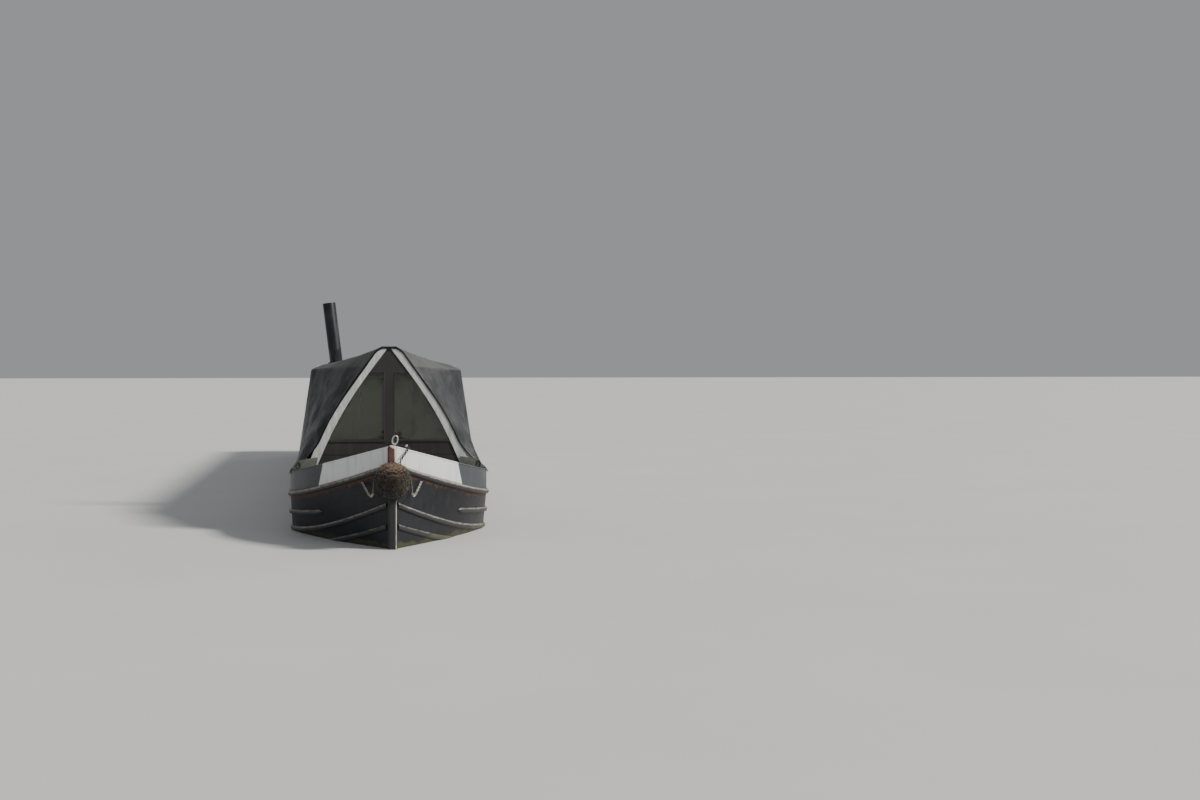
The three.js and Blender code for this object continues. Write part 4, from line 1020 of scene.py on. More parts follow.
def makeGunwale(side):
    # The bulwark's rounded top bar, and behind the cratch the narrow deck beside the cabin.
    c = capping
    x, y, fromStem, _, _ = bowPoint("top", np.linspace(0, 1, 50), c["inset"])
    aftX = np.linspace(x[-1], hull["counterFront"] + 0.0006, 40)[1:]
    aftY, aftZ = np.full(39, hull["half"] - c["inset"]), np.full(39, deckHeight)
    path = np.vstack([
        np.column_stack([x, y, levelHeight("top", fromStem)]), np.column_stack([aftX, aftY, aftZ]),
    ])
    t = np.linspace(0, np.pi, 9)
    bar = np.column_stack([c["half"] * np.cos(t), c["rise"] * np.sin(t)])
    bar = np.vstack([bar, [[-c["half"] * 0.9, -c["below"]], [c["half"] * 0.9, -c["below"]]]])
    rail = tube(carried(path, bar))
    x = np.linspace(c["deckStart"], hull["counterFront"] + 0.0004, 60)[:, None]
    edge = sideHalfAt(x) - c["edge"]
    y = edge + (c["wall"] - edge) * np.linspace(0, 1, 5)
    top = np.stack(np.broadcast_arrays(x, y, edgeHeight(x) + 0.001), -1)
    deck = slab(top, top - np.array([0, 0, c["thick"]]))
    for name, part, finish in (("gunwale_bar_", rail, hullPaint), ("side_deck_", deck, deckPaint)):
        piece(name + side, sided(part, side), finish,
              replaces=("hull_side_" + side,), smooth=40)


for side, _ in bothSides:
    makeHullSide(side)
    makeGunwale(side)
    for name, row in strakeRows.items():
        makeStrake(name, row, side)


foredeck = {
    "start": 7.0473, "hole": (7.307, 7.767), "holeHalf": 0.230, "end": hull["stem"] - 0.14,
    "inset": 0.047, "least": 0.02, "drop": 0.018, "camber": 0.055, "thick": 0.014,
}


def foredeckHeight(x, y):
    half = sideHalfAt(x)
    return edgeHeight(x) - foredeck["drop"] + foredeck["camber"] * (half ** 2 - y ** 2) / hull["half"] ** 2


def deckPatch(x0, x1, low, high, rows):
    # Cambered plating between two stations and two edges, each edge a function of x.
    x = np.linspace(x0, x1, rows)[:, None]
    t = np.linspace(0, 1, 25)[None, :]
    y = low(x) + (high(x) - low(x)) * t
    top = np.stack([np.broadcast_to(x, y.shape), y, foredeckHeight(x, y)], -1)
    return slab(top, top - np.array([0, 0, foredeck["thick"]]))


def makeForedeck():
    # Four patches round the locker's opening.
    def edge(x):
        return np.maximum(sideHalfAt(x) - foredeck["inset"], foredeck["least"])

    def hole(x):
        return foredeck["holeHalf"] + 0 * x

    start, end = foredeck["hole"]
    patches = [
        deckPatch(foredeck["start"], start, lambda x: -edge(x), edge, 8),
        deckPatch(start, end, lambda x: -edge(x), lambda x: -hole(x), 14),
        deckPatch(start, end, hole, edge, 14),
        deckPatch(end, foredeck["end"], lambda x: -edge(x), edge, 24),
    ]
    piece("foredeck_plating", merged(patches), deckPaint, replaces=("foredeck",),
          smooth=40)


def capsule(radius, length, axis, centre, crown=0.35):
    # A bar with crowned ends, turned and laid along "x" or "y".
    half = length / 2
    t = np.linspace(0, np.pi / 2, 6)
    rim = [(radius * math.cos(a), half - radius * crown * (1 - math.sin(a))) for a in t]
    profile = [(0, -half)] + [(r, -z) for r, z in rim[::-1][1:]] + rim[:-1] + [(0, half)]
    tilt = {"x": ("y", math.pi / 2), "y": ("x", -math.pi / 2)}[axis]
    return moved(turned(profile, 32), centre, tilt)


bowStud = {"x": hull["stem"] - 0.330, "bar": 0.116}
bowStud["deck"] = float(foredeckHeight(np.array(bowStud["x"]), np.array(0.0)))


def makeStud():
    x, deck = bowStud["x"], bowStud["deck"]
    flange = [
        (0, -0.02), (0.07, -0.02), (0.075, 0.004), (0.070, 0.012), (0.032, 0.014), (0.027, 0.030),
        (0.024, 0.045), (0.024, 0.144), (0.019, 0.149), (0, 0.150),
    ]
    parts = [
        moved(turned(roundedProfile(flange, 0.006), 40), (x, 0, deck)),
        capsule(0.014, 0.120, "y", (x, 0, deck + bowStud["bar"])),
    ]
    piece("bow_stud", merged(parts), castIron, replaces=("foredeck",), smooth=40)


makeForedeck()
makeStud()
for node, finish, width, slot, segments in (  # width of the rounded edge
    ("stem_post", stemPaint, 0.030, "stem_paint", 7),
    ("baseplate", hullPaint, 0.003, "hull_paint", 2),
    ("stern_post", hullPaint, 0.004, "hull_paint", 2),
    ("uxter_plate", hullPaint, 0.002, "hull_paint", 2),
    ("skeg", hullPaint, 0.004, "hull_paint", 2),
    ("floor_and_ballast", floorTimber, 0.003, "board_wood", 2),
    ("engine_bulkhead", castIron, 0.002, "bare_steel", 2),
    ("engine_block", castIron, 0.012, "engine_iron", 3),
    ("well_deck", deckPaint, 0.002, "deck_paint", 2),
    ("locker_bulkhead", deckPaint, 0.002, "deck_paint", 2),
    ("gas_locker_lid", deckPaint, 0.003, "deck_paint", 2),
):
    softened(node, finish, width, segments)
print("hull plated")


# Stern

stern = {
    "curve": 0.9, "end": -8.687, "bottom": 0.558, "edge": 0.010,
    "rudder": 0.300, "studs": (0.420, 0.640),  # ahead of the end, and the studs' way aside
}


def counterOutline(grow, count=72):
    # Straight for a short way, then half an ellipse round the stern.
    a = np.linspace(0, np.pi, count)
    start = stern["end"] + stern["curve"]
    x = start - (start - stern["end"] + grow) * np.sin(a)
    y = (hull["half"] + grow) * np.cos(a)
    lead = np.array([[hull["counterFront"], hull["half"] + grow]])
    return np.vstack([lead, np.column_stack([x, y]), lead * [1, -1]])


def stackedOutlines(levels):
    # The stern's outline at several (growth, height) levels.
    outlines = [counterOutline(grow) for grow, _ in levels]
    return cappedTube(np.stack([
        np.column_stack([line, np.full(len(line), z)]) for line, (_, z) in zip(outlines, levels)
    ]))


bandShape = {"out": 0.026, "half": 0.022, "root": 0.01}


def counterBand(z):
    # Half an oval round the stern at one height, with its root inside the plating.
    out, half, root = bandShape["out"], bandShape["half"], bandShape["root"]
    arc = [(out * math.cos(a), z + half * math.sin(a)) for a in np.linspace(-np.pi / 2, np.pi / 2, 9)]
    return stackedOutlines([(-root, z - half), *arc, (-root, z + half)])


def makeCounter():
    def onCounter(name, part, finish, smooth=40, tags=None):
        piece(name, part, finish, replaces=("counter",), smooth=smooth, tags=tags)

    e, z = stern["edge"], deckHeight
    onCounter("counter_plating", stackedOutlines([
        (-e, stern["bottom"]), (0, stern["bottom"] + e), (0, z - 0.04), (0.008, z - 0.036),
        (0.008, z - 0.008), (0.004, z - 0.002), (-0.004, z),
    ]), hullPaint)
    deck = stackedOutlines([(-0.035, z - 0.0005), (-0.035, z + 0.0015), (-0.038, z + 0.0025)])
    onCounter("counter_deck", deck, deckPaint)
    for k, height in enumerate((hull["guard"][0], strakeRows["middle_strake"][0], stern["bottom"] + 0.030)):
        part = counterBand(height)
        worn = {"wear": np.full(len(part[0]), 0.8), "scuff": np.full(len(part[0]), 0.6)}
        onCounter("counter_band_%d" % (k + 1), part, guardPaint, smooth=50, tags=worn)
    collar = [
        (0, 1.20), (0.060, 1.20), (0.060, 1.228), (0.048, 1.236), (0.048, 1.276), (0.044, 1.28), (0, 1.28),
    ]
    tubeTop = moved(turned(roundedProfile(collar, 0.004), 48), (stern["end"] + stern["rudder"], 0, 0))
    onCounter("rudder_tube", tubeTop, hullPaint)
    post = [
        (0, 1.20), (0.055, 1.20), (0.055, 1.230), (0.030, 1.236), (0.022, 1.26), (0.022, 1.366), (0, 1.37),
    ]
    ahead, aside = stern["studs"]
    for side, sign in bothSides:
        x, y = stern["end"] + ahead, sign * aside
        studs = [
            moved(turned(roundedProfile(post, 0.005), 32), (x, y, 0)),
            capsule(0.016, 0.140, "y", (x, y, z + 0.118)),
        ]
        onCounter("stern_stud_" + side, merged(studs), wornSteel)


makeCounter()
print("stern plated")


# Cabin

cabin = {
    "front": 5.247, "rear": -7.847, "half": 0.862, "edge": 2.240, "camber": 0.075, "thick": 0.045,
    "foot": 0.925, "base": 1.220, "hole": (-7.207, 0.300), "lean": math.atan(0.075 / 1.02),
    "eaves": 0.020, "round": 0.014,  # past the bulkheads, and how deep the rounded edge is
}


def roofTop(y):
    return cabin["edge"] + cabin["camber"] * (1 - (y / cabin["half"]) ** 2) + cabin["thick"]


def wallHalf(z):
    return cabin["foot"] - (z - cabin["base"]) * math.tan(cabin["lean"])


def halfRound(edge):
    # Points round the roof's outer edge, the way its section runs: down to port, up to starboard.
    way, r = -np.sign(edge), cabin["thick"] / 2
    a = np.linspace(-0.9, 0.9, 7) * way
    return np.column_stack([
        edge + way * cabin["round"] * (1 - np.cos(a)), roofTop(edge) - r + r * np.sin(a),
    ])


def roofStrip(x0, x1, low, high):
    # The roof's section between two lines along X, its outer edges eased to a half round.
    y = np.linspace(low, high, 25)
    limit = cabin["half"] - cabin["round"]
    top = np.column_stack([np.clip(y, -limit, limit), roofTop(y)])
    under = np.column_stack([y, roofTop(y) - cabin["thick"]])[::-1]
    port, starboard = ([halfRound(edge)] if abs(edge) == cabin["half"] else [] for edge in (high, low))
    section = np.vstack([top, *port, under, *starboard])
    return cappedTube(np.stack([np.column_stack([np.full(len(section), x), section]) for x in (x0, x1)]))


hatchRunner = {"y": 0.335, "half": 0.012, "below": 0.020, "above": 0.014, "ends": (0.004, 1.330)}


def makeRoof():
    start, hole = cabin["hole"]
    rear, front, out = cabin["rear"] - cabin["eaves"], cabin["front"] + cabin["eaves"], cabin["half"]
    strips = [
        roofStrip(start, front, -out, out),
        roofStrip(rear, start, -out, -hole),
        roofStrip(rear, start, hole, out),
    ]
    piece("roof_plating", merged(strips), roofPaint, replaces=("roof",))
    r, z = hatchRunner, roofTop(hatchRunner["y"])
    ends = [cabin["rear"] + end for end in r["ends"]]
    for side, sign in bothSides:
        y = sign * r["y"]
        section = roundedBox((y - r["half"], z - r["below"]), (y + r["half"], z + r["above"]), 0.003)
        runner = prism(section, "x", *ends)
        piece("hatch_runner_" + side, runner, brass, replaces=("roof",), smooth=40)
        makeHandrail(side, sign)


handrail = {
    "y": 0.800, "above": 0.034, "wide": 0.015, "high": 0.012, "ends": (0.250, 0.150),
    "drop": 0.024, "dropLength": 0.10, "lead": (0, 0.006, 0.02, 0.05, 0.12),  # its turned-down ends
    "feet": 8, "firstFoot": 0.300, "spare": 0.5, "footHalf": (0.034, 0.024), "footThick": 0.010,
}


def makeHandrail(side, sign):
    # A grab rail with turned-down ends on eight feet.
    h = handrail
    y, base = sign * h["y"], roofTop(h["y"])
    first, last = cabin["rear"] + h["ends"][0], cabin["front"] - h["ends"][1]
    lead = np.array(h["lead"])
    middle = np.linspace(first + lead[-1], last - lead[-1], 30)[1:-1]
    x = np.concatenate([first + lead, middle, last - lead[::-1]])
    ends = np.clip(1 - np.minimum(x - first, last - x) / h["dropLength"], 0, 1)
    path = np.column_stack([x, np.full(len(x), y), base + h["above"] - h["drop"] * ends ** 2])
    section = roundedBox((-h["wide"], -h["high"]), (h["wide"], h["high"]), 0.008)
    parts = [tube(carried(path, section))]
    run = cabin["front"] - cabin["rear"] - h["spare"]
    (wide, narrow), low, high = h["footHalf"], base - 0.020, base + 0.026
    for i in range(h["feet"]):
        x = cabin["rear"] + h["firstFoot"] + run * i / (h["feet"] - 1)
        loop = roundedLoop([(x - wide, low), (x + wide, low), (x + narrow, high), (x - narrow, high)], 0.006)
        parts.append(prism(loop, "y", y - h["footThick"], y + h["footThick"]))
    piece("handrail_" + side, merged(parts), creamPaint, replaces=("roof",), smooth=40)


window = {
    "width": 1.0, "height": 0.52, "radius": 0.09, "z": 1.8, "topLight": 0.150,
    "less": 0.054, "rounder": 0.026,  # the glass against the opening, in size and in radius
    "proud": 0.0108, "screwOut": 0.015,  # where the screws stand, past the opening
    "rowEnd": 0.160, "sideScrew": 0.090,  # a row's end from the corner, and a side screw's height
    "at": {"window_1": 4.350, "window_2": 2.350, "window_3": 0.150, "window_4": -2.050},
}
porthole = {
    "width": 0.4, "glass": 0.338, "proud": 0.0092, "screws": 0.2185,
    "at": {"porthole_1": -4.300, "porthole_2": -6.200},
}


def loopPath(width, height, radius, steps=10):
    # A rounded rectangle as points and outward directions in the plane of the wall.
    w, h = width / 2 - radius, height / 2 - radius
    points, ways = [], []
    for cx, cz, quarter in ((w, h, 0), (-w, h, 1), (-w, -h, 2), (w, -h, 3)):
        a = np.pi / 2 * (quarter + np.linspace(0, 1, steps))
        way = np.column_stack([np.cos(a), np.sin(a)])
        points.append(np.array([cx, cz]) + radius * way)
        ways.append(way)
    return np.vstack(points), np.vstack(ways)


def frameRing(width, height, radius, profile, steps=10):
    # A profile of (outward, proud) points carried round a rounded rectangle.
    points, ways = loopPath(width, height, radius, steps)
    profile = np.asarray(profile)
    flat = points[:, None, :] + profile[None, :, 0, None] * ways[:, None, :]
    proud = np.broadcast_to(profile[None, :, 1], flat.shape[:2])
    return loopedTube(np.stack([flat[..., 0], proud, flat[..., 1]], -1))


def domes(centres, radius, rise):
    # Screw heads: low domes facing +Y.
    shape = [(0, -0.002), (radius, -0.002), (radius, 0.0), (radius * 0.75, rise * 0.7), (0, rise)]
    head = moved(turned(shape, 12), tilt=("x", -math.pi / 2))
    return merged([moved(head, centre) for centre in centres])


def glaze(name, x, side, parts):
    # A window's pieces, leant and laid on their side's wall.
    node, z = name + "_" + side, window["z"]
    for label, part, finish, slot, smooth in parts:
        part = sided(moved(part, (x, wallHalf(z), z), ("x", cabin["lean"])), side)
        piece(node + "_" + label, part, finish, replaces=(node,), smooth=smooth)


def makeWindow(name, x, side):
    width, height, radius = window["width"], window["height"], window["radius"]
    w, h, out, proud = width / 2, height / 2, window["screwOut"], window["proud"]
    flange = [
        (-0.025, -0.050), (-0.025, 0.006), (-0.018, 0.011), (0.020, 0.011), (0.027, 0.007),
        (0.028, 0.0006), (0.0, 0.0006), (-0.001, -0.050),
    ]
    seal = [(-0.034, -0.021), (-0.034, -0.004), (-0.029, -0.002), (-0.0245, -0.003), (-0.0245, -0.024)]
    mullion = prism(roundedBox((-0.014, -0.022), (0.014, 0.004), 0.003), "z", 0.01 - h, h - 0.01)
    level = h - window["topLight"]
    bar = roundedBox((-0.020, level - 0.010), (0.001, level + 0.010), 0.003)
    bars = [prism(bar, "x", low, high) for low, high in ((0.02 - w, -0.012), (0.012, w - 0.02))]
    less, end, z = window["less"], window["rowEnd"], window["sideScrew"]
    outline, _ = loopPath(width - less, height - less, radius - window["rounder"])
    corners, _ = loopPath(width + 2 * out, height + 2 * out, radius + out, 3)
    screws = [(corner[0], proud, corner[1]) for corner in corners[1::3]]
    screws += [(s, proud, e * (h + out)) for s in np.linspace(end - w, w - end, 4) for e in (-1, 1)]
    screws += [(e * (w + out), proud, s) for s in (-z, z) for e in (-1, 1)]
    frameParts = [frameRing(width, height, radius, flange), mullion, *bars]
    glaze(name, x, side, (
        ("frame", merged(frameParts), aluminium, "window_glass", 40),
        ("seal", frameRing(width, height, radius, seal), blackRubber, "window_glass", 40),
        ("glass", prism(outline[::-1], "y", -0.016, -0.011), cabinGlass, "window_glass", 20),
        ("screws", domes(screws, 0.005, 0.0022), wornSteel, "bare_steel", 40),
    ))


def makePorthole(name, x, side):
    width, glass, r = porthole["width"], porthole["glass"], porthole["screws"]
    almost = 0.0001  # keeps the rounded rectangle from closing to a point
    ring = [
        (-0.032, -0.050), (-0.032, -0.004), (-0.024, 0.010), (-0.010, 0.019), (0.008, 0.019),
        (0.016, 0.012), (0.027, 0.009), (0.028, 0.0006), (0.0, 0.0006), (-0.001, -0.050),
    ]
    outline, _ = loopPath(glass, glass, glass / 2 - almost, 18)
    centres = [(r * math.cos(a), porthole["proud"], r * math.sin(a)) for a in aroundCircle(8) + 0.2]
    glaze(name, x, side, (
        ("ring", frameRing(width, width, width / 2 - almost, ring, 20), brass, "brass", 30),
        ("glass", prism(outline[::-1], "y", -0.014, -0.008), cabinGlass, "window_glass", 20),
        ("screws", domes(centres, 0.005, 0.0025), brass, "brass", 40),
    ))


doorKnob = {"inset": 0.060, "height": 0.52}  # the height is a share of the leaf's


def makeKnob(door):
    # A small round brass knob near the leaf's meeting edge, on the side away from the cabin.
    low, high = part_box(door)
    way, inset = 1 if door.startswith("front") else -1, doorKnob["inset"]
    place = (
        high.x if way > 0 else low.x,
        low.y + inset if high.y > 0.1 else high.y - inset,
        low.z + doorKnob["height"] * (high.z - low.z),
    )
    shape = [
        (0, -0.004), (0.020, -0.004), (0.020, 0.002), (0.008, 0.005), (0.007, 0.014), (0.015, 0.019),
        (0.017, 0.025), (0.012, 0.031), (0, 0.033),
    ]
    knob = moved(turned(roundedProfile(shape, 0.002), 28), place, ("y", way * math.pi / 2))
    piece(door + "_knob", knob, brass, body=bodyOf[door], smooth=40)


makeRoof()
for side, _ in bothSides:
    softened("cabin_side_" + side, creamPaint, 0.004)
    for name, x in window["at"].items():
        makeWindow(name, x, side)
    for name, x in porthole["at"].items():
        makePorthole(name, x, side)
softened("front_bulkhead", creamPaint, 0.002)
softened("rear_bulkhead", creamPaint, 0.002)
softened("sliding_hatch", creamPaint, 0.004, 3)
for door in ("front_door_port", "front_door_starboard", "rear_door_port", "rear_door_starboard"):
    softened(door, greenPaint, 0.0025)
    makeKnob(door)
print("cabin built")


# On the roof

flue = {"x": 4.347, "y": -0.586, "radius": 0.077, "height": 0.780}


def makeChimney():
    # A pipe in a socket, both square to the roof's own slope where they stand.
    lean = math.atan(2 * cabin["camber"] * flue["y"] / cabin["half"] ** 2)
    place = (flue["x"], flue["y"], roofTop(flue["y"]))
    r, h = flue["radius"], flue["height"]
    pipe = [
        (0, 0.0203), (r, 0.0203), (r, 0.20), (r + 0.0012, 0.206), (r, 0.212), (r, h - 0.003),
        (r - 0.001, h), (r - 0.004, h), (r - 0.005, h - 0.003), (r - 0.005, 0.030), (0, 0.030),
    ]
    socket = [
        (0, -0.004), (0.120, -0.008), (0.134, -0.004), (0.135, 0.004), (0.131, 0.012), (0.108, 0.018),
        (0.100, 0.030), (0.0985, 0.056), (0.096, 0.062), (0.088, 0.062), (0.0865, 0.058),
        (0.0865, 0.0202), (0, 0.0202),
    ]
    for name, shape, node in (
        ("chimney_pipe", pipe, "chimney"), ("chimney_socket", socket, "chimney_collar"),
    ):
        part = moved(turned(shape, 64), place, ("x", -lean))
        piece(name, part, chimneyBlack, replaces=(node,))


ventPlaces = (3.300, 0.700, -2.100, -4.700)


def makeVents():
    # Mushroom vents along the roof's middle.
    shape = [
        (0, 0.0003), (0.080, 0.0003), (0.081, 0.004), (0.078, 0.009), (0.052, 0.012), (0.046, 0.020),
        (0.046, 0.044), (0.050, 0.049), (0.090, 0.049), (0.0945, 0.054), (0.092, 0.060), (0.070, 0.078),
        (0.040, 0.0865), (0.022, 0.0885), (0.018, 0.092), (0.010, 0.0945), (0, 0.095),
    ]
    mushroom = turned(roundedProfile(shape, 0.004), 56)
    for k, x in enumerate(ventPlaces):
        node = "roof_vent_%d" % (k + 1)
        part = moved(mushroom, (x, 0, roofTop(0.0)))
        piece(node + "_mushroom", part, brass, replaces=(node,), smooth=30)


makeChimney()
makeVents()
print("roof fitted")


# Cratch: two bowed legs, a post, boards and beadings round the panes

cratch = {
    "x": 7.047, "foot": 1.242, "legFoot": 1.265, "legHalf": 0.865, "legWidth": 0.1008, "bow": 0.070,
    "apexZ": 2.540, "apexHalf": 0.105, "sill": 1.548, "head": 2.280, "post": 0.046, "back": -0.0283,
    "eased": (0.040, 0.034),  # the top corner cut off: down the leg, and in along the top
    "gap": 0.002, "bead": 0.014, "glass": (-0.018, -0.012),
}


def boardHalf(z):
    # Half breadth of the board, leg + (apex - leg) * share + bow * sin(pi * share).
    c = cratch
    share = (z - c["legFoot"]) / (c["apexZ"] - c["legFoot"])
    bow = c["bow"] * np.sin(np.pi * np.clip(share, 0, 1))
    return c["legHalf"] + (c["apexHalf"] - c["legHalf"]) * share + bow


def legEdge(low, high, inset, count=14):
    # Points up one side of the board, (half breadth - inset, height).
    z = np.linspace(low, high, count)
    return np.column_stack([np.maximum(boardHalf(z) - inset, 0.006), z])


def boardPart(outline, front):
    return prism(roundedLoop(outline, 0.003), "x", cratch["x"] + cratch["back"], cratch["x"] + front)


def acrossLegs(low, high, front, count=2):
    # A board from leg to leg between two heights.
    edge = legEdge(low, high, cratch["legWidth"], count)
    return boardPart(np.vstack([edge, edge[::-1] * [-1, 1]]), front)


def beading(corners, width):
    # A narrow bead just inside an outline, on the board's front.
    way = corners - corners.mean(0)
    inner = corners - way * width * 1.3 / np.linalg.norm(way, axis=1, keepdims=True)
    crest = 0.6 * corners + 0.4 * inner
    rows = ((corners, -0.012), (corners, 0.003), (crest, 0.006), (inner, 0.003), (inner, -0.012))
    rings = [np.column_stack([np.full(len(row), cratch["x"] + x), row]) for row, x in rows]
    return loopedTube(np.stack(rings, 1))


def boarding(name, part, finish=blackPaint):
    made = piece(name, part, finish, replaces=("cratch_board",), smooth=30)
    easeEdges(made, 0.003)


def makeCratch():
    c = cratch
    down, across = c["eased"]
    outer = legEdge(c["foot"], c["apexZ"] - down, 0.0)
    corner = [[boardHalf(c["apexZ"]) - across, c["apexZ"]]]
    leg = np.vstack([outer, corner, legEdge(c["apexZ"], c["foot"], c["legWidth"])])
    paneEdge = legEdge(c["sill"], c["head"], c["legWidth"])
    pane = np.vstack([[[c["post"], c["sill"]]], paneEdge, [[c["post"], c["head"]]]])
    for side, sign in bothSides:
        boarding("cratch_leg_" + side, boardPart(leg * [sign, 1], 0.012), paleTimber)
        bead = beading(pane * [sign, 1], c["bead"])
        piece("pane_bead_" + side, bead, blackPaint, replaces=("cratch_board",), smooth=30)
        glass = prism(pane * [sign, 1], "x", *(c["x"] + face for face in c["glass"]))
        piece("pane_glass_" + side, glass, cratchGlass,
              replaces=("cratch_pane_" + side,), smooth=20)
    gap, middle = c["gap"], (c["foot"] + c["sill"]) / 2
    lower = [
        acrossLegs(low + gap, high - gap, -0.0003)
        for low, high in ((c["foot"], middle), (middle, c["sill"]))
    ]
    boarding("cratch_lower_boards", merged(lower))
    foot, head = c["sill"] - 0.01, c["head"] + 0.02
    post = [(-c["post"], foot), (c["post"], foot), (c["post"], head), (-c["post"], head)]
    boarding("cratch_post", boardPart(post, 0.004))
    boarding("cratch_crown", acrossLegs(c["head"], c["apexZ"] - 0.01, 0.002, 8))
    boarding("cratch_sill", acrossLegs(c["sill"] - 0.016, c["sill"] + 0.006, 0.010))


makeCratch()
softened("top_plank", plankTimber, 0.004)
print("cratch framed")


# Canvas cover

cover = {
    "back": cabin["front"] - 0.060, "start": cabin["front"] + 0.026, "loft": cratch["x"] - 0.034,
    "rows": 110, "columns": 150, "thick": 0.004,
    "out": 0.0055, "lift": 0.0014, "aslant": 1.25,  # off what it lies on
    "hem": 0.018, "hemInset": 0.020, "hemMost": 1.020,  # over and within the deck's edge
    "flap": 0.021,  # the turn over the board's front
    "fold": 2.330, "flare": 0.2, "corner": 0.40, "turn": 0.06, "lap": 0.19, "ear": 0.28, "swell": 0.042,
    "sag": 0.010, "creases": 0.0065, "tuck": 0.007, "crumple": 0.0028, "pucker": 0.010,
}


def mix(a, b, share):
    return a + (b - a) * share


def coverHalf(x):
    # One side of the section at each station, hem to ridge: a flank, then a crown, drawn at the
    # cabin and at the board and blended, P = cabin + (board - cabin) * share. The crease between
    # them runs from the cabin's corner to a place below the board's top. The hem keeps to the
    # deck's edge: near the board the foot stands out as an ear, aside + out * (1 - t / ear) ^ 2.
    # Over the cabin's end the crown swells: height + swell * sin(pi * t) * (1 - share) ^ 2.
    c = cover
    share = np.clip((x - c["start"]) / (c["loft"] - c["start"]), 0, 1)
    flare = np.minimum(1, (1 - share) / c["flare"])
    out, aslant = c["out"], c["out"] * c["aslant"]
    hemHeight = edgeHeight(x) + c["hem"]
    atBoard = boardHalf(hemHeight) + aslant
    atDeck = np.minimum(sideHalfAt(x) - c["hemInset"], c["hemMost"]) + out
    root = atBoard + (atDeck - atBoard) * np.sin(np.pi / 2 * flare)
    half = c["columns"] // 2
    flank = np.linspace(0, 1, half * 3 // 5 + 1)[:-1]
    t = np.linspace(0, 1, half - len(flank) + 1)
    atFold = boardHalf(c["fold"])
    creaseY = mix(cabin["half"] + out, atFold + aslant, share)
    creaseZ = mix(roofTop(cabin["half"]) + out + c["lift"], c["fold"], share)
    ear = np.clip(1 - flank / c["ear"], 0, 1) ** 2
    sideY = root[:, None] + (creaseY - root)[:, None] * flank + (atDeck - root)[:, None] * ear
    sideZ = hemHeight[:, None] + (creaseZ - hemHeight)[:, None] * flank
    foot = hemHeight[-1]
    bowed = boardHalf(mix(foot, c["fold"], flank)) - mix(boardHalf(foot), atFold, flank)
    sideY = sideY + share[:, None] ** 1.5 * bowed
    inward = 1 - np.interp(t, [0, c["corner"], 1], [0, c["lap"], 1])
    roofY = (cabin["half"] + out) * inward
    roofZ = roofTop(cabin["half"] * inward) + out + c["lift"]
    down, across = cratch["eased"]
    top = cratch["apexZ"]
    knots = [0, c["corner"] - c["turn"], c["corner"] + c["turn"], 1]
    boardY = [atFold + aslant, boardHalf(top - down) + aslant + 0.002,
              cratch["apexHalf"] - across + 0.007, 0.0]
    boardZ = [c["fold"], top - down + 0.004, top + out + 0.001, top + out]
    s = share[:, None]
    swell = c["swell"] * np.sin(np.pi * t) * (1 - s) ** 2
    crownY = mix(roofY, np.interp(t, knots, boardY), s)
    crownZ = mix(roofZ, np.interp(t, knots, boardZ), s) + swell
    sections = np.stack([sideY, sideZ], -1), np.stack([crownY, crownZ], -1)
    return np.concatenate(sections, axis=1), share


def coverGrid():
    c = cover
    lap = np.linspace(c["back"], c["start"], 6)[:-1]
    x = np.concatenate([lap, np.linspace(c["start"], c["loft"], c["rows"])])
    half, share = coverHalf(x)
    whole = np.concatenate([half, half[:, -2::-1] * np.array([-1, 1])], axis=1)
    whole[:, 1:-1] = 0.25 * whole[:, :-2] + 0.5 * whole[:, 1:-1] + 0.25 * whole[:, 2:]
    return np.concatenate([np.broadcast_to(x[:, None, None], whole.shape[:2] + (1,)), whole], axis=2), share


def surfaceNormals(grid):
    return unit(np.cross(np.gradient(grid, axis=0), np.gradient(grid, axis=1)))


def hump(value, middle, width):
    return np.exp(-((value - middle) / width) ** 2)


def coverFolds(grid, s, u):
    # How far the tight sheet stands off its plain shape. Its panels sink between the ridge, the
    # crease and the hem, with a tuck under the crease; folds fan out of the corners and run
    # lengthways, a * sin(waves * place + ripple), and all fade out towards the supports.
    c = cover
    way = np.sign(np.linspace(-1, 1, s.shape[1]))[None, :]
    panel = 0.6 * hump(s, 0.22, 0.13) + hump(s, 0.66, 0.17)
    tuck = hump(s - 0.15 * u, 0.43, 0.030) - 0.8 * hump(s - 0.15 * u, 0.50, 0.035)
    depth = np.sin(np.pi * u) ** 0.8 * (c["sag"] * panel - c["tuck"] * tuck)
    pull = np.clip(4 * u * (1 - u), 0, 1) ** 0.5 * np.clip(s / 0.12, 0, 1) * np.clip((1 - s) / 0.10, 0, 1)
    bend = ripple(grid, 2.3, 21)
    fan = np.sin(26 * (s * 1.1 - 0.55 * u) + 2.6 * bend + 1.7 * way) * hump(s, 0.62, 0.30)
    long = np.sin(17 * u * (1 + 0.4 * s) + 3.1 * bend + way)
    sharp = 1 - np.abs(np.sin(9 * (s + 0.9 * u) + 2.2 * bend + 0.8 * way)) ** 0.55
    flat = np.clip((s - 0.34) / 0.12, 0.25, 1)
    folds = c["creases"] * pull * flat * (0.9 * fan + 0.55 * long + 1.2 * sharp)
    folds = folds + c["crumple"] * pull * ripple(grid, 14.0, 8)
    corner = hump(u, 0.93, 0.10) * hump(s, 0.86, 0.12)
    pucker = corner * np.sin(34 * (s - 0.55 * u)) * np.clip((1 - s) / 0.05, 0, 1)
    return folds + c["pucker"] * pucker * np.clip((1 - u) / 0.04, 0, 1) - depth


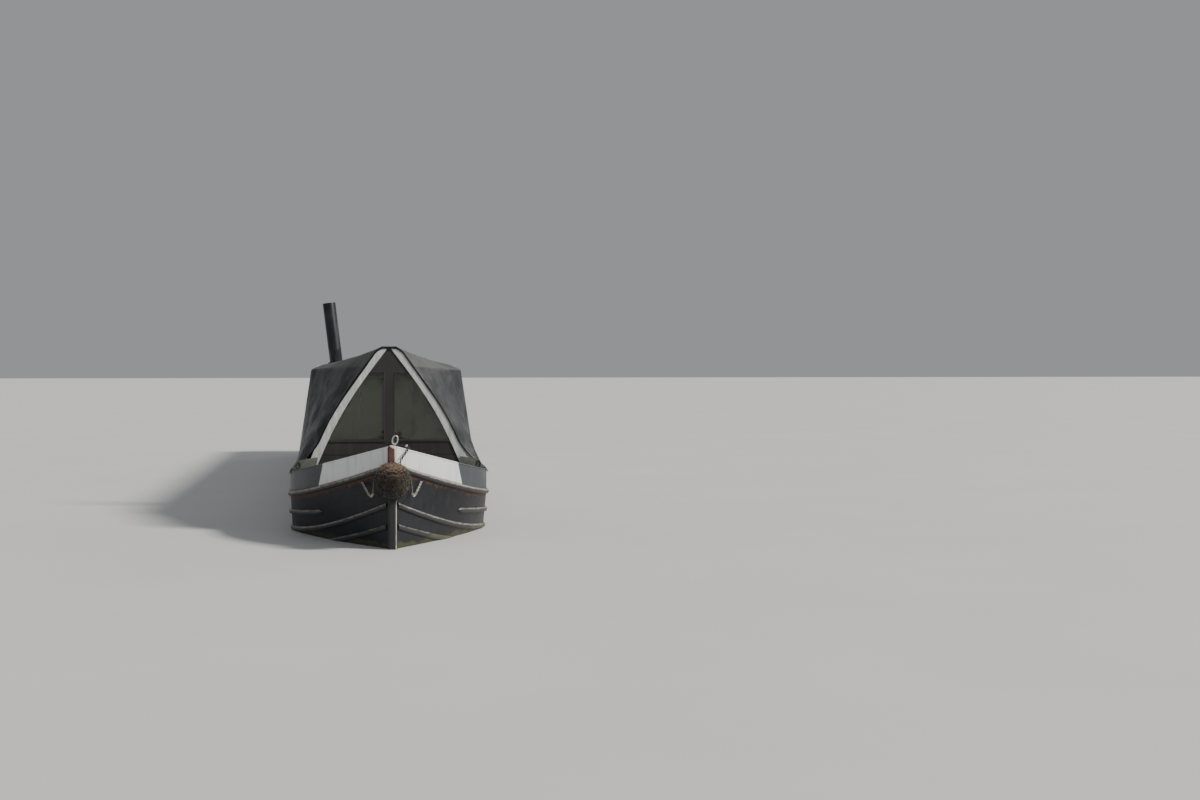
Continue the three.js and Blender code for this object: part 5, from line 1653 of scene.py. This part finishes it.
def makeCover():
    grid, share = coverGrid()
    rows, columns = grid.shape[:2]
    s = np.abs(np.linspace(-1, 1, columns))[None, :]  # 1 at each hem, 0 at the ridge
    normals = surfaceNormals(grid)
    normals *= np.sign(normals[rows // 2, columns // 2, 2])
    outer = grid + normals * coverFolds(grid, s, share[:, None])[..., None]
    inner = outer - normals * cover["thick"]
    lip = frontLip(outer)
    outer, inner = np.concatenate([outer, lip[0]]), np.concatenate([inner, lip[1]])
    along, over = lengthAlong(outer[:, columns // 2]), lengthAlong(outer[rows // 2])
    uv = np.stack(np.broadcast_arrays(along[:, None], over[None, :]), -1).reshape(-1, 2)
    crown = np.repeat(np.clip((0.41 - s) / 0.02, 0, 1), len(outer), axis=0)
    crown[rows + 1 :] = 0.0
    made = piece(
        "cover_canvas", slab(outer, inner), canvas, replaces=("cratch_cover",), smooth=24,
        uv=np.vstack([uv, uv]), tags={"crown": np.tile(crown.ravel(), 2)},
    )
    makeHem(outer) + makeSkirts()


def frontLip(outer):
    # The canvas goes on past the board, turns down over the legs' front and ends there, a
    # broader turn at the foot.
    last = outer[-1]
    way = unit(np.array([0.0, 1.95]) - last[:, 1:])
    s = np.abs(np.linspace(-1, 1, len(last)))[:, None]
    broad = 1 + 0.9 * np.clip((s - 0.72) / 0.20, 0, 1)
    cloth = []
    under = []
    turn = ((0.004, 0.0), (0.0145, 0.002), (0.0185, 0.008), (0.0190, 0.026), (0.0185, cover["flap"]))
    for ahead, reach in turn:
        ring = last.copy()
        ring[:, 0] = cratch["x"] + ahead
        ring[:, 1:] += way * reach * broad
        lower = ring.copy()
        lower[:, 0] -= cover["thick"] if reach > 0.004 else 0.0
        lower[:, 1:] += way * (cover["thick"] if reach < 0.02 else 0.0)
        cloth.append(ring)
        under.append(lower)
    return np.stack(cloth), np.stack(under)


def makeHem(outer):
    # A stitched, doubled edge along each side, with a cord through it.
    t = aroundCircle(12)
    oval = np.column_stack([np.zeros(12), 0.0055 * np.cos(t), 0.0085 * np.sin(t)])
    made = []
    for side, column in (("port", 0), ("starboard", -1)):
        rings = outer[::2, column][:, None, :] + oval
        made.append(piece(
            "cover_hem_" + side, tube(rings), canvas, replaces=("cratch_cover",),
            smooth=60, uv=np.zeros((rings.size // 3 + 2, 2)),
        ))
    return made


skirtLines = np.array([  # top and bottom edge of the strip, from the leg's inner edge round the corner
    [[7.0690, 0.748, 1.375], [7.0700, 0.768, 1.262]],
    [[7.0700, 0.846, 1.360], [7.0715, 0.846, 1.2605]],
    [[7.0700, 0.930, 1.342], [7.0720, 0.930, 1.2550]],
    [[7.0690, 0.968, 1.310], [7.0720, 0.985, 1.2480]],
    [[7.0620, 0.992, 1.286], [7.0700, 1.026, 1.2480]],
    [[7.0440, 1.010, 1.270], [7.0560, 1.050, 1.2080]],
    [[7.0150, 1.022, 1.262], [7.0150, 1.052, 1.2020]],
    [[6.9300, 1.028, 1.260], [6.9300, 1.052, 1.2080]],
    [[6.8200, 1.029, 1.258], [6.8200, 1.050, 1.2200]],
])
buckle = {
    "centre": (7.0790, 0.948, 1.296), "half": (0.019, 0.030), "wire": 0.0045,
    "strap": (0.934, 0.962, 1.262, 1.330), "strapAt": (7.0715, 7.0775),
}


def makeSkirts():
    # A strip of canvas tied over each leg's foot and round the cover's corner, with its buckle.
    top, low = (curveThrough(skirtLines[:, k], 8) for k in range(2))
    t = np.linspace(0, 1, 9)[None, :]
    outer = top[:, None, :] + (low - top)[:, None, :] * t[..., None]
    normals = surfaceNormals(outer)
    normals *= np.sign(normals[0, :, 0].mean())
    bulge = 0.0025 * np.sin(np.pi * t) + 0.0018 * ripple(outer, 22.0, 31)
    outer = outer + normals * bulge[..., None]
    strip = slab(outer, outer - normals * cover["thick"])
    angle = aroundCircle(20)
    (x, y, z), (wide, high) = buckle["centre"], buckle["half"]
    ring = np.column_stack([np.full(20, x), y + wide * np.cos(angle), z + high * np.sin(angle)])
    y0, y1, z0, z1 = buckle["strap"]
    strap = prism([(y0, z0), (y1, z0), (y1, z1), (y0, z1)], "x", *buckle["strapAt"])
    fastened = merged([closedTube(ring, buckle["wire"], np.array([1.0, 0.0, 0.0])), strap])
    return [
        piece(name + side, sided(part, side), finish, replaces=("cratch_cover",), smooth=50)
        for side, _ in bothSides
        for name, part, finish in (
            ("cover_skirt_", strip, skirtCanvas), ("cover_buckle_", fastened, darkChain),
        )
    ]


makeCover()
print("cover stretched")


# Rope fenders and chains

fender = {
    "rows": 96, "columns": 220, "courses": 7,
    "sunk": 0.055, "strand": 0.024, "uneven": 0.030,  # shares of its radius
    "reach": 0.239,  # how far the fibres may stand past the stem and the stern
    "blade": 0.0011, "root": 0.004, "ridge": 0.0016, "spring": 0.62, "lean": 0.45, "droop": 0.35,
}
bowFender = {
    "size": (0.236, 0.186, 0.184), "z": 1.238, "strands": 26, "cut": 1.0,
    "fibres": (3200, 0.042, 5),  # how many, how long and their seed
}
sternFender = {
    "size": (0.437, 0.310, 0.130), "z": 1.010, "strands": 34, "cut": 0.92,
    "fibres": (900, 0.030, 6), "middle": stern["end"] + 0.200, "freeRows": 60,
}


def plaited(size, centre, strands, cut):
    # A fender worked in half hitches round a core: an egg whose surface is raised by rope
    # courses, radius = 1 + a * |cos(strands * angle + half a turn on every other course)|.
    f = fender
    v = np.linspace(0.02, np.pi / 2 * cut, f["rows"])[:, None]  # from the tip back
    u = aroundCircle(f["columns"])[None, :]
    course = v / (np.pi / 2) * f["courses"]
    offset = np.floor(course) % 2 * np.pi / 2
    rise = np.sin(np.pi * (course % 1.0)) ** 0.6
    lumps = np.abs(np.cos(strands / 2 * u + offset + 0.9 * (course % 1.0))) ** 0.7
    egg = np.stack([np.cos(v) * np.ones_like(u), np.sin(v) * np.cos(u), np.sin(v) * np.sin(u)], -1)
    raised = -f["sunk"] + f["strand"] * rise * lumps + f["uneven"] * ripple(egg * 3.0, 5.0, 17)
    return egg * (1 + raised)[..., None] * np.asarray(size) + np.asarray(centre)


def shaggy(rings, count, length, seed, low, high):
    # Loose fibres standing out of the rope between two places along the boat: short bent
    # three-sided blades at random, P = root + reach * (out + aside * t + down * t ^ 2).
    f, rng = fender, np.random.default_rng(seed)
    rows, columns = rings.shape[:2]
    i = rng.integers(2, rows - 3, count)
    j = rng.integers(0, columns, count)
    root = rings[i, j]
    out = unit(np.cross(rings[i + 1, j] - rings[i - 1, j], rings[i, (j + 1) % columns] - rings[i, j - 1]))
    out *= np.sign((out * (root - rings.reshape(-1, 3).mean(0))).sum(-1, keepdims=True))
    lean = unit(rng.normal(size=(count, 3)))
    reach = length * rng.uniform(0.35, 1.0, (count, 1))
    aside = unit(np.cross(out, lean)) * f["blade"]
    droop = np.array([0, 0, -f["droop"]])
    middle, tip = (
        root + reach * (out * f["spring"] * t + lean * f["lean"] * t + droop * t * t) for t in (0.45, 1.0)
    )
    ways = (-aside, aside, out * f["ridge"])
    corners = [point + way for point in (root - out * f["root"], middle) for way in ways]
    verts = np.stack([*corners, tip], axis=1)
    verts[..., 0] = np.clip(verts[..., 0], low, high)
    base = np.arange(count)[:, None] * 7
    quads = [base + [face] for face in ([0, 1, 4, 3], [1, 2, 5, 4], [2, 0, 3, 5])]
    tris = [base + [face] for face in ([0, 2, 1], [3, 4, 6], [4, 5, 6], [5, 3, 6])]
    return solid(verts.reshape(-1, 3), np.concatenate(quads), np.concatenate(tris))


def roped(name, part, finish, node):
    piece(name, part, finish, replaces=(node,), smooth=50)


def makeBowFender():
    f, lead = bowFender, hull["stem"]
    rings = plaited(f["size"], (lead, 0, f["z"]), f["strands"], f["cut"])
    rings[..., 0] = np.maximum(rings[..., 0], lead + 0.0005)
    roped("bow_fender_core", tube(rings), rope, "bow_fender")
    fibres = shaggy(rings, *f["fibres"], -np.inf, lead + fender["reach"])
    roped("bow_fender_fibres", fibres, rope, "bow_fender")
    strand = curveThrough([
        (lead + 0.030, 0.070, 1.398), (lead + 0.052, 0.122, 1.352), (lead + 0.060, 0.160, 1.285),
        (lead + 0.062, 0.179, 1.200), (lead + 0.050, 0.186, 1.118),
    ], 24)
    section = circle(0.0085, 10) * (1 + 0.16 * np.cos(3 * aroundCircle(10)))[:, None]
    strand = tube(carried(strand, section, up=(1.0, 0.0, 0.0), turn=np.arange(len(strand)) * 0.42))
    roped("fender_lashing", merged([strand, mirroredPart(strand)]), paleRope, "bow_fender")


def makeSternFender():
    # The same, turned to face aft and cut off where it lies against the stern.
    f, middle = sternFender, sternFender["middle"]
    rings = plaited(f["size"], (middle, 0, f["z"]), f["strands"], f["cut"])
    outline = counterOutline(0.0275, 400)
    order = np.argsort(outline[:, 1])
    limit = np.interp(rings[..., 1], outline[order, 1], outline[order, 0])
    rings[..., 0] = np.minimum(2 * middle - rings[..., 0], limit)
    roped("stern_fender_core", tube(rings), rope, "stern_fender")
    free = rings[: f["freeRows"]]
    fibres = shaggy(free, *f["fibres"], stern["end"] - fender["reach"], np.inf)
    roped("stern_fender_fibres", fibres, rope, "stern_fender")


link = {"wire": 0.0044, "length": 0.044, "width": 0.026, "pitch": 0.0325}


def chainAlong(points):
    # Oval links set one pitch apart along a curve, each turned a quarter from the last.
    path = curveThrough(points, 60)
    run = lengthAlong(path)

    def placeAt(at):
        return np.column_stack([np.interp(at, run, path[:, k]) for k in range(3)])

    count = int(run[-1] / link["pitch"])
    at = (np.arange(count) + 0.5) * run[-1] / count
    centre = placeAt(at)
    ahead = unit(placeAt(at + 0.003) - centre + 1e-9)
    t = aroundCircle(18)
    straight = (link["length"] - link["width"]) / 2 * np.sign(np.cos(t)) * (np.abs(np.cos(t)) > 0.02)
    along = np.cos(t) * (link["width"] / 2 - link["wire"]) + straight
    across = np.sin(t) * (link["width"] / 2 - link["wire"])
    parts = []
    for k in range(count):
        side = unit(np.cross(ahead[k], [0.2, 0.3, 0.9]))
        rise = np.cross(side, ahead[k])
        a = np.pi / 2 * (k % 2) + 0.25
        flat = side * math.cos(a) + rise * math.sin(a)
        loop = centre[k] + along[:, None] * ahead[k] + across[:, None] * flat
        parts.append(closedTube(loop, link["wire"], np.cross(ahead[k], flat)))
    return merged(parts)


def hullAt(y, z):
    points, _ = skinPoint(np.linspace(0, 1, 401), np.full(401, z))
    return points[np.argmax(points[:, 1] >= y)]


def makeChains():
    # Each chain hangs from the fender to an eye on the hull, and the stay runs from the fender
    # over the bulwark, where a small knob holds it, to the stud.
    def steel(name, part, finish, node):
        piece(name, part, finish, replaces=(node,), smooth=60)

    face = hull["stem"]
    x, y, _ = hullAt(0.280, 1.196)
    slack = [
        (face + 0.050, 0.186, 1.122), (face + 0.012, 0.198, 1.094), (face - 0.060, 0.216, 1.090),
        (face - 0.150, 0.246, 1.136), (x + 0.004, y + 0.004, 1.196),
    ]
    chain = merged([chainAlong(slack), capsule(0.009, 0.026, "y", (x + 0.002, y + 0.004, 1.198))])
    for side, _ in bothSides:
        steel("chain_" + side, sided(chain, side), chainSteel, "fender_chain_" + side)
    x, y, _ = hullAt(0.148, 1.540)
    stay = [
        (face + 0.040, 0.066, 1.398), (face - 0.030, 0.090, 1.448), (x + 0.012, y + 0.006, 1.540),
        (x - 0.050, y - 0.040, 1.562), (bowStud["x"] + 0.012, 0.004, bowStud["deck"] + 0.060),
    ]
    steel("stay_chain", chainAlong(stay), darkChain, "fender_stay_port")
    knob = capsule(0.013, 0.034, "x", (x - 0.004, y - 0.012, 1.562))
    steel("stay_knob", knob, wornSteel, "fender_stay_port")


headRing = {
    "behind": 0.045,  # from the stem's face
    "centre": (0.026, 0.050), "half": (0.026, 0.043), "slant": 0.006, "wire": 0.0068,
    "eyeCentre": (0.024, 0.006), "eyeHalf": (0.015, 0.013), "eyeWire": 0.0050,
}


def makeHeadRing():
    # A bright oval link standing in a small eye on the stem's head.
    h, count = headRing, 36
    x, head = hull["stem"] - h["behind"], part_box("stem_post")[1].z
    c, s = np.cos(aroundCircle(count)), np.sin(aroundCircle(count))
    (y, z), (wide, high) = h["centre"], h["half"]
    oval = np.column_stack([np.full(count, x), y + wide * c + h["slant"] * s, head + z + high * s])
    (y, z), (wide, high) = h["eyeCentre"], h["eyeHalf"]
    eye = np.column_stack([x + wide * c, np.full(count, y), head + z + high * s])
    parts = [
        closedTube(oval, h["wire"], np.array([1.0, 0.0, 0.0]), 12),
        closedTube(eye, h["eyeWire"], np.array([0.0, 1.0, 0.0]), 10),
    ]
    piece("stem_head_ring", merged(parts), wornSteel, smooth=60)


makeBowFender()
makeSternFender()
makeChains()
makeHeadRing()
print("fenders hung")


# Steering gear and propeller

steering = {
    "x": stern["end"] + stern["rudder"], "top": 2.500, "neck": 0.024,
    "socket": 0.203, "bar": 0.2313, "handle": 1.0210,  # ahead of the rudder's post
}


def makeSteering():
    x, top = steering["x"], steering["top"]
    level = top + 0.001
    path = curveThrough([
        (x, 0, 1.370), (x - 0.020, 0, 1.720), (x + 0.010, 0, 2.120), (x + 0.090, 0, top - 0.090),
        (x + 0.190, 0, top), (x + 0.215, 0, level),
    ], 12)
    foot = [(0, 1.3103), (0.040, 1.3103), (0.040, 1.385), (0.034, 1.400), (0.026, 1.410), (0, 1.410)]
    neck = merged([
        tube(carried(path, circle(steering["neck"], 24), up=(0, 1, 0))),
        moved(turned(roundedProfile(foot, 0.004), 36), (x, 0, 0)),
        capsule(0.028, 0.056, "x", (x + steering["socket"], 0, level), 0.15),
    ])
    bar = [
        (0, 0.0), (0.019, 0.0), (0.019, 0.770), (0.023, 0.776), (0.023, 0.786), (0.0195, 0.790),
        (0, 0.790),
    ]
    handle = [
        (0, 0.0), (0.018, 0.0), (0.0205, 0.02), (0.0225, 0.10), (0.024, 0.17), (0.0235, 0.21),
        (0.019, 0.238), (0, 0.2385),
    ]
    bar, handle = (
        moved(turned(roundedProfile(shape, radius), 32), (x + ahead, 0, level), ("y", math.pi / 2))
        for shape, radius, ahead in ((bar, 0.002, steering["bar"]), (handle, 0.006, steering["handle"]))
    )
    for name, part, finish, node, slot in (
        ("tiller_neck", neck, brass, "swan_neck", "bare_steel"),
        ("tiller_bar", bar, brass, "tiller_arm", "brass"),
        ("tiller_handle", handle, plankTimber, "tiller_arm", "board_wood"),
    ):
        piece(name, part, finish, body=bodyOf[node], replaces=(node,), smooth=40)
    softened("rudder", hullPaint, 0.003)


propeller = {
    "x": hull["swim"][1] - 0.230, "z": 0.3, "shaftEnd": -6.500, "blades": 3,
    "root": 0.030, "span": 0.185, "tip": 0.86,  # its rounding starts there
    "chord": (0.046, 0.150, 0.060), "pitch": (1.05, 0.62), "thick": (0.007, 0.0045),
}


def makePropeller():
    # Twisted blades on a hub, which runs on ahead as the shaft. Along a blade t goes from 0 to
    # 1: chord = a + b * sin(pi * (0.18 + 0.74 * t)) - c * t, rounded off at the tip, and its
    # pitch and thickness fall evenly.
    p = propeller
    x, z = p["x"], p["z"]
    shaft = p["shaftEnd"] - x
    hub = [
        (0, -0.110), (0.016, -0.110), (0.022, -0.100), (0.024, -0.072), (0.040, -0.068), (0.046, -0.040),
        (0.046, 0.050), (0.038, 0.060), (0.025, 0.062), (0.025, shaft), (0, shaft),
    ]
    parts = [moved(turned(hub, 40), (x, 0, z), ("y", math.pi / 2))]
    t = np.linspace(0, 1, 22)[:, None]
    a = aroundCircle(28)[None, :]
    base, swell, loss = p["chord"]
    chord = base + swell * np.sin(np.pi * np.minimum(0.92, 0.18 + 0.74 * t)) - loss * t
    chord = chord * np.sqrt(np.clip(1 - ((t - p["tip"]) / (1 - p["tip"])).clip(0) ** 2, 0.02, 1))
    pitch = p["pitch"][0] - p["pitch"][1] * t
    half = (p["thick"][0] - p["thick"][1] * t) * np.sin(a) * (1 - 0.25 * np.cos(a))
    across = chord / 2 * np.cos(a)
    blade = tube(np.stack([
        across * np.sin(pitch) + half * np.cos(pitch), across * np.cos(pitch) - half * np.sin(pitch),
        np.broadcast_to(p["root"] + p["span"] * t, across.shape),
    ], -1))
    turns = 2 * np.pi * np.arange(p["blades"]) / p["blades"]
    parts += [moved(blade, (x, 0, z), ("x", turn)) for turn in turns]
    piece("propeller_blades", merged(parts), bronze, body=bodyOf["propeller"],
          replaces=("propeller",))


makeSteering()
makePropeller()
print("steering hung")


# Floor and light

lights = {  # the way to the light, its strength, its softness in degrees and its colour
    "keyFromPort": ((0.42, 0.90, 0.72), 4.4, 10.0, (1.0, 0.97, 0.92)),
    "rimFromAftPort": ((-0.80, 0.62, 0.42), 0.26, 18.0, (1.0, 0.98, 0.95)),
    "fillFromStarboard": ((0.9, -0.9, 0.55), 0.12, 60.0, (0.92, 0.96, 1.0)),
}
room = {"floor": 160.0, "colour": (0.80, 0.83, 0.87, 1), "strength": 0.38}


def makeFloor():
    material, shader, coords = newMaterial("paleFloor", Roughness=0.75)
    put(blended(noise(coords, 0.6, 3.0), (0.60, 0.60, 0.59), (0.66, 0.66, 0.65)), shader["Base Color"])
    mesh = bpy.data.meshes.new("studioFloor")
    size = room["floor"]
    corners = [(x * size, y * size, waterline) for x, y in ((-1, -1), (1, -1), (1, 1), (-1, 1))]
    mesh.from_pydata(corners, [], [(0, 1, 2, 3)])
    floor = addObject("studioFloor", mesh)
    floor.data.materials.append(material)


def makeLights():
    for name, (towards, strength, softness, colour) in lights.items():
        data = bpy.data.lights.new(name, "SUN")
        data.energy = strength
        data.angle = math.radians(softness)
        data.color = colour
        lamp = addObject(name, data)
        lamp.rotation_euler = Vector(towards).to_track_quat("Z", "Y").to_euler()
    world = bpy.data.worlds.new("softRoom")
    world.use_nodes = True
    background = world.node_tree.nodes["Background"].inputs
    background["Color"].default_value = room["colour"]
    background["Strength"].default_value = room["strength"]
    bpy.context.scene.world = world


makeFloor()
makeLights()
print("lit")
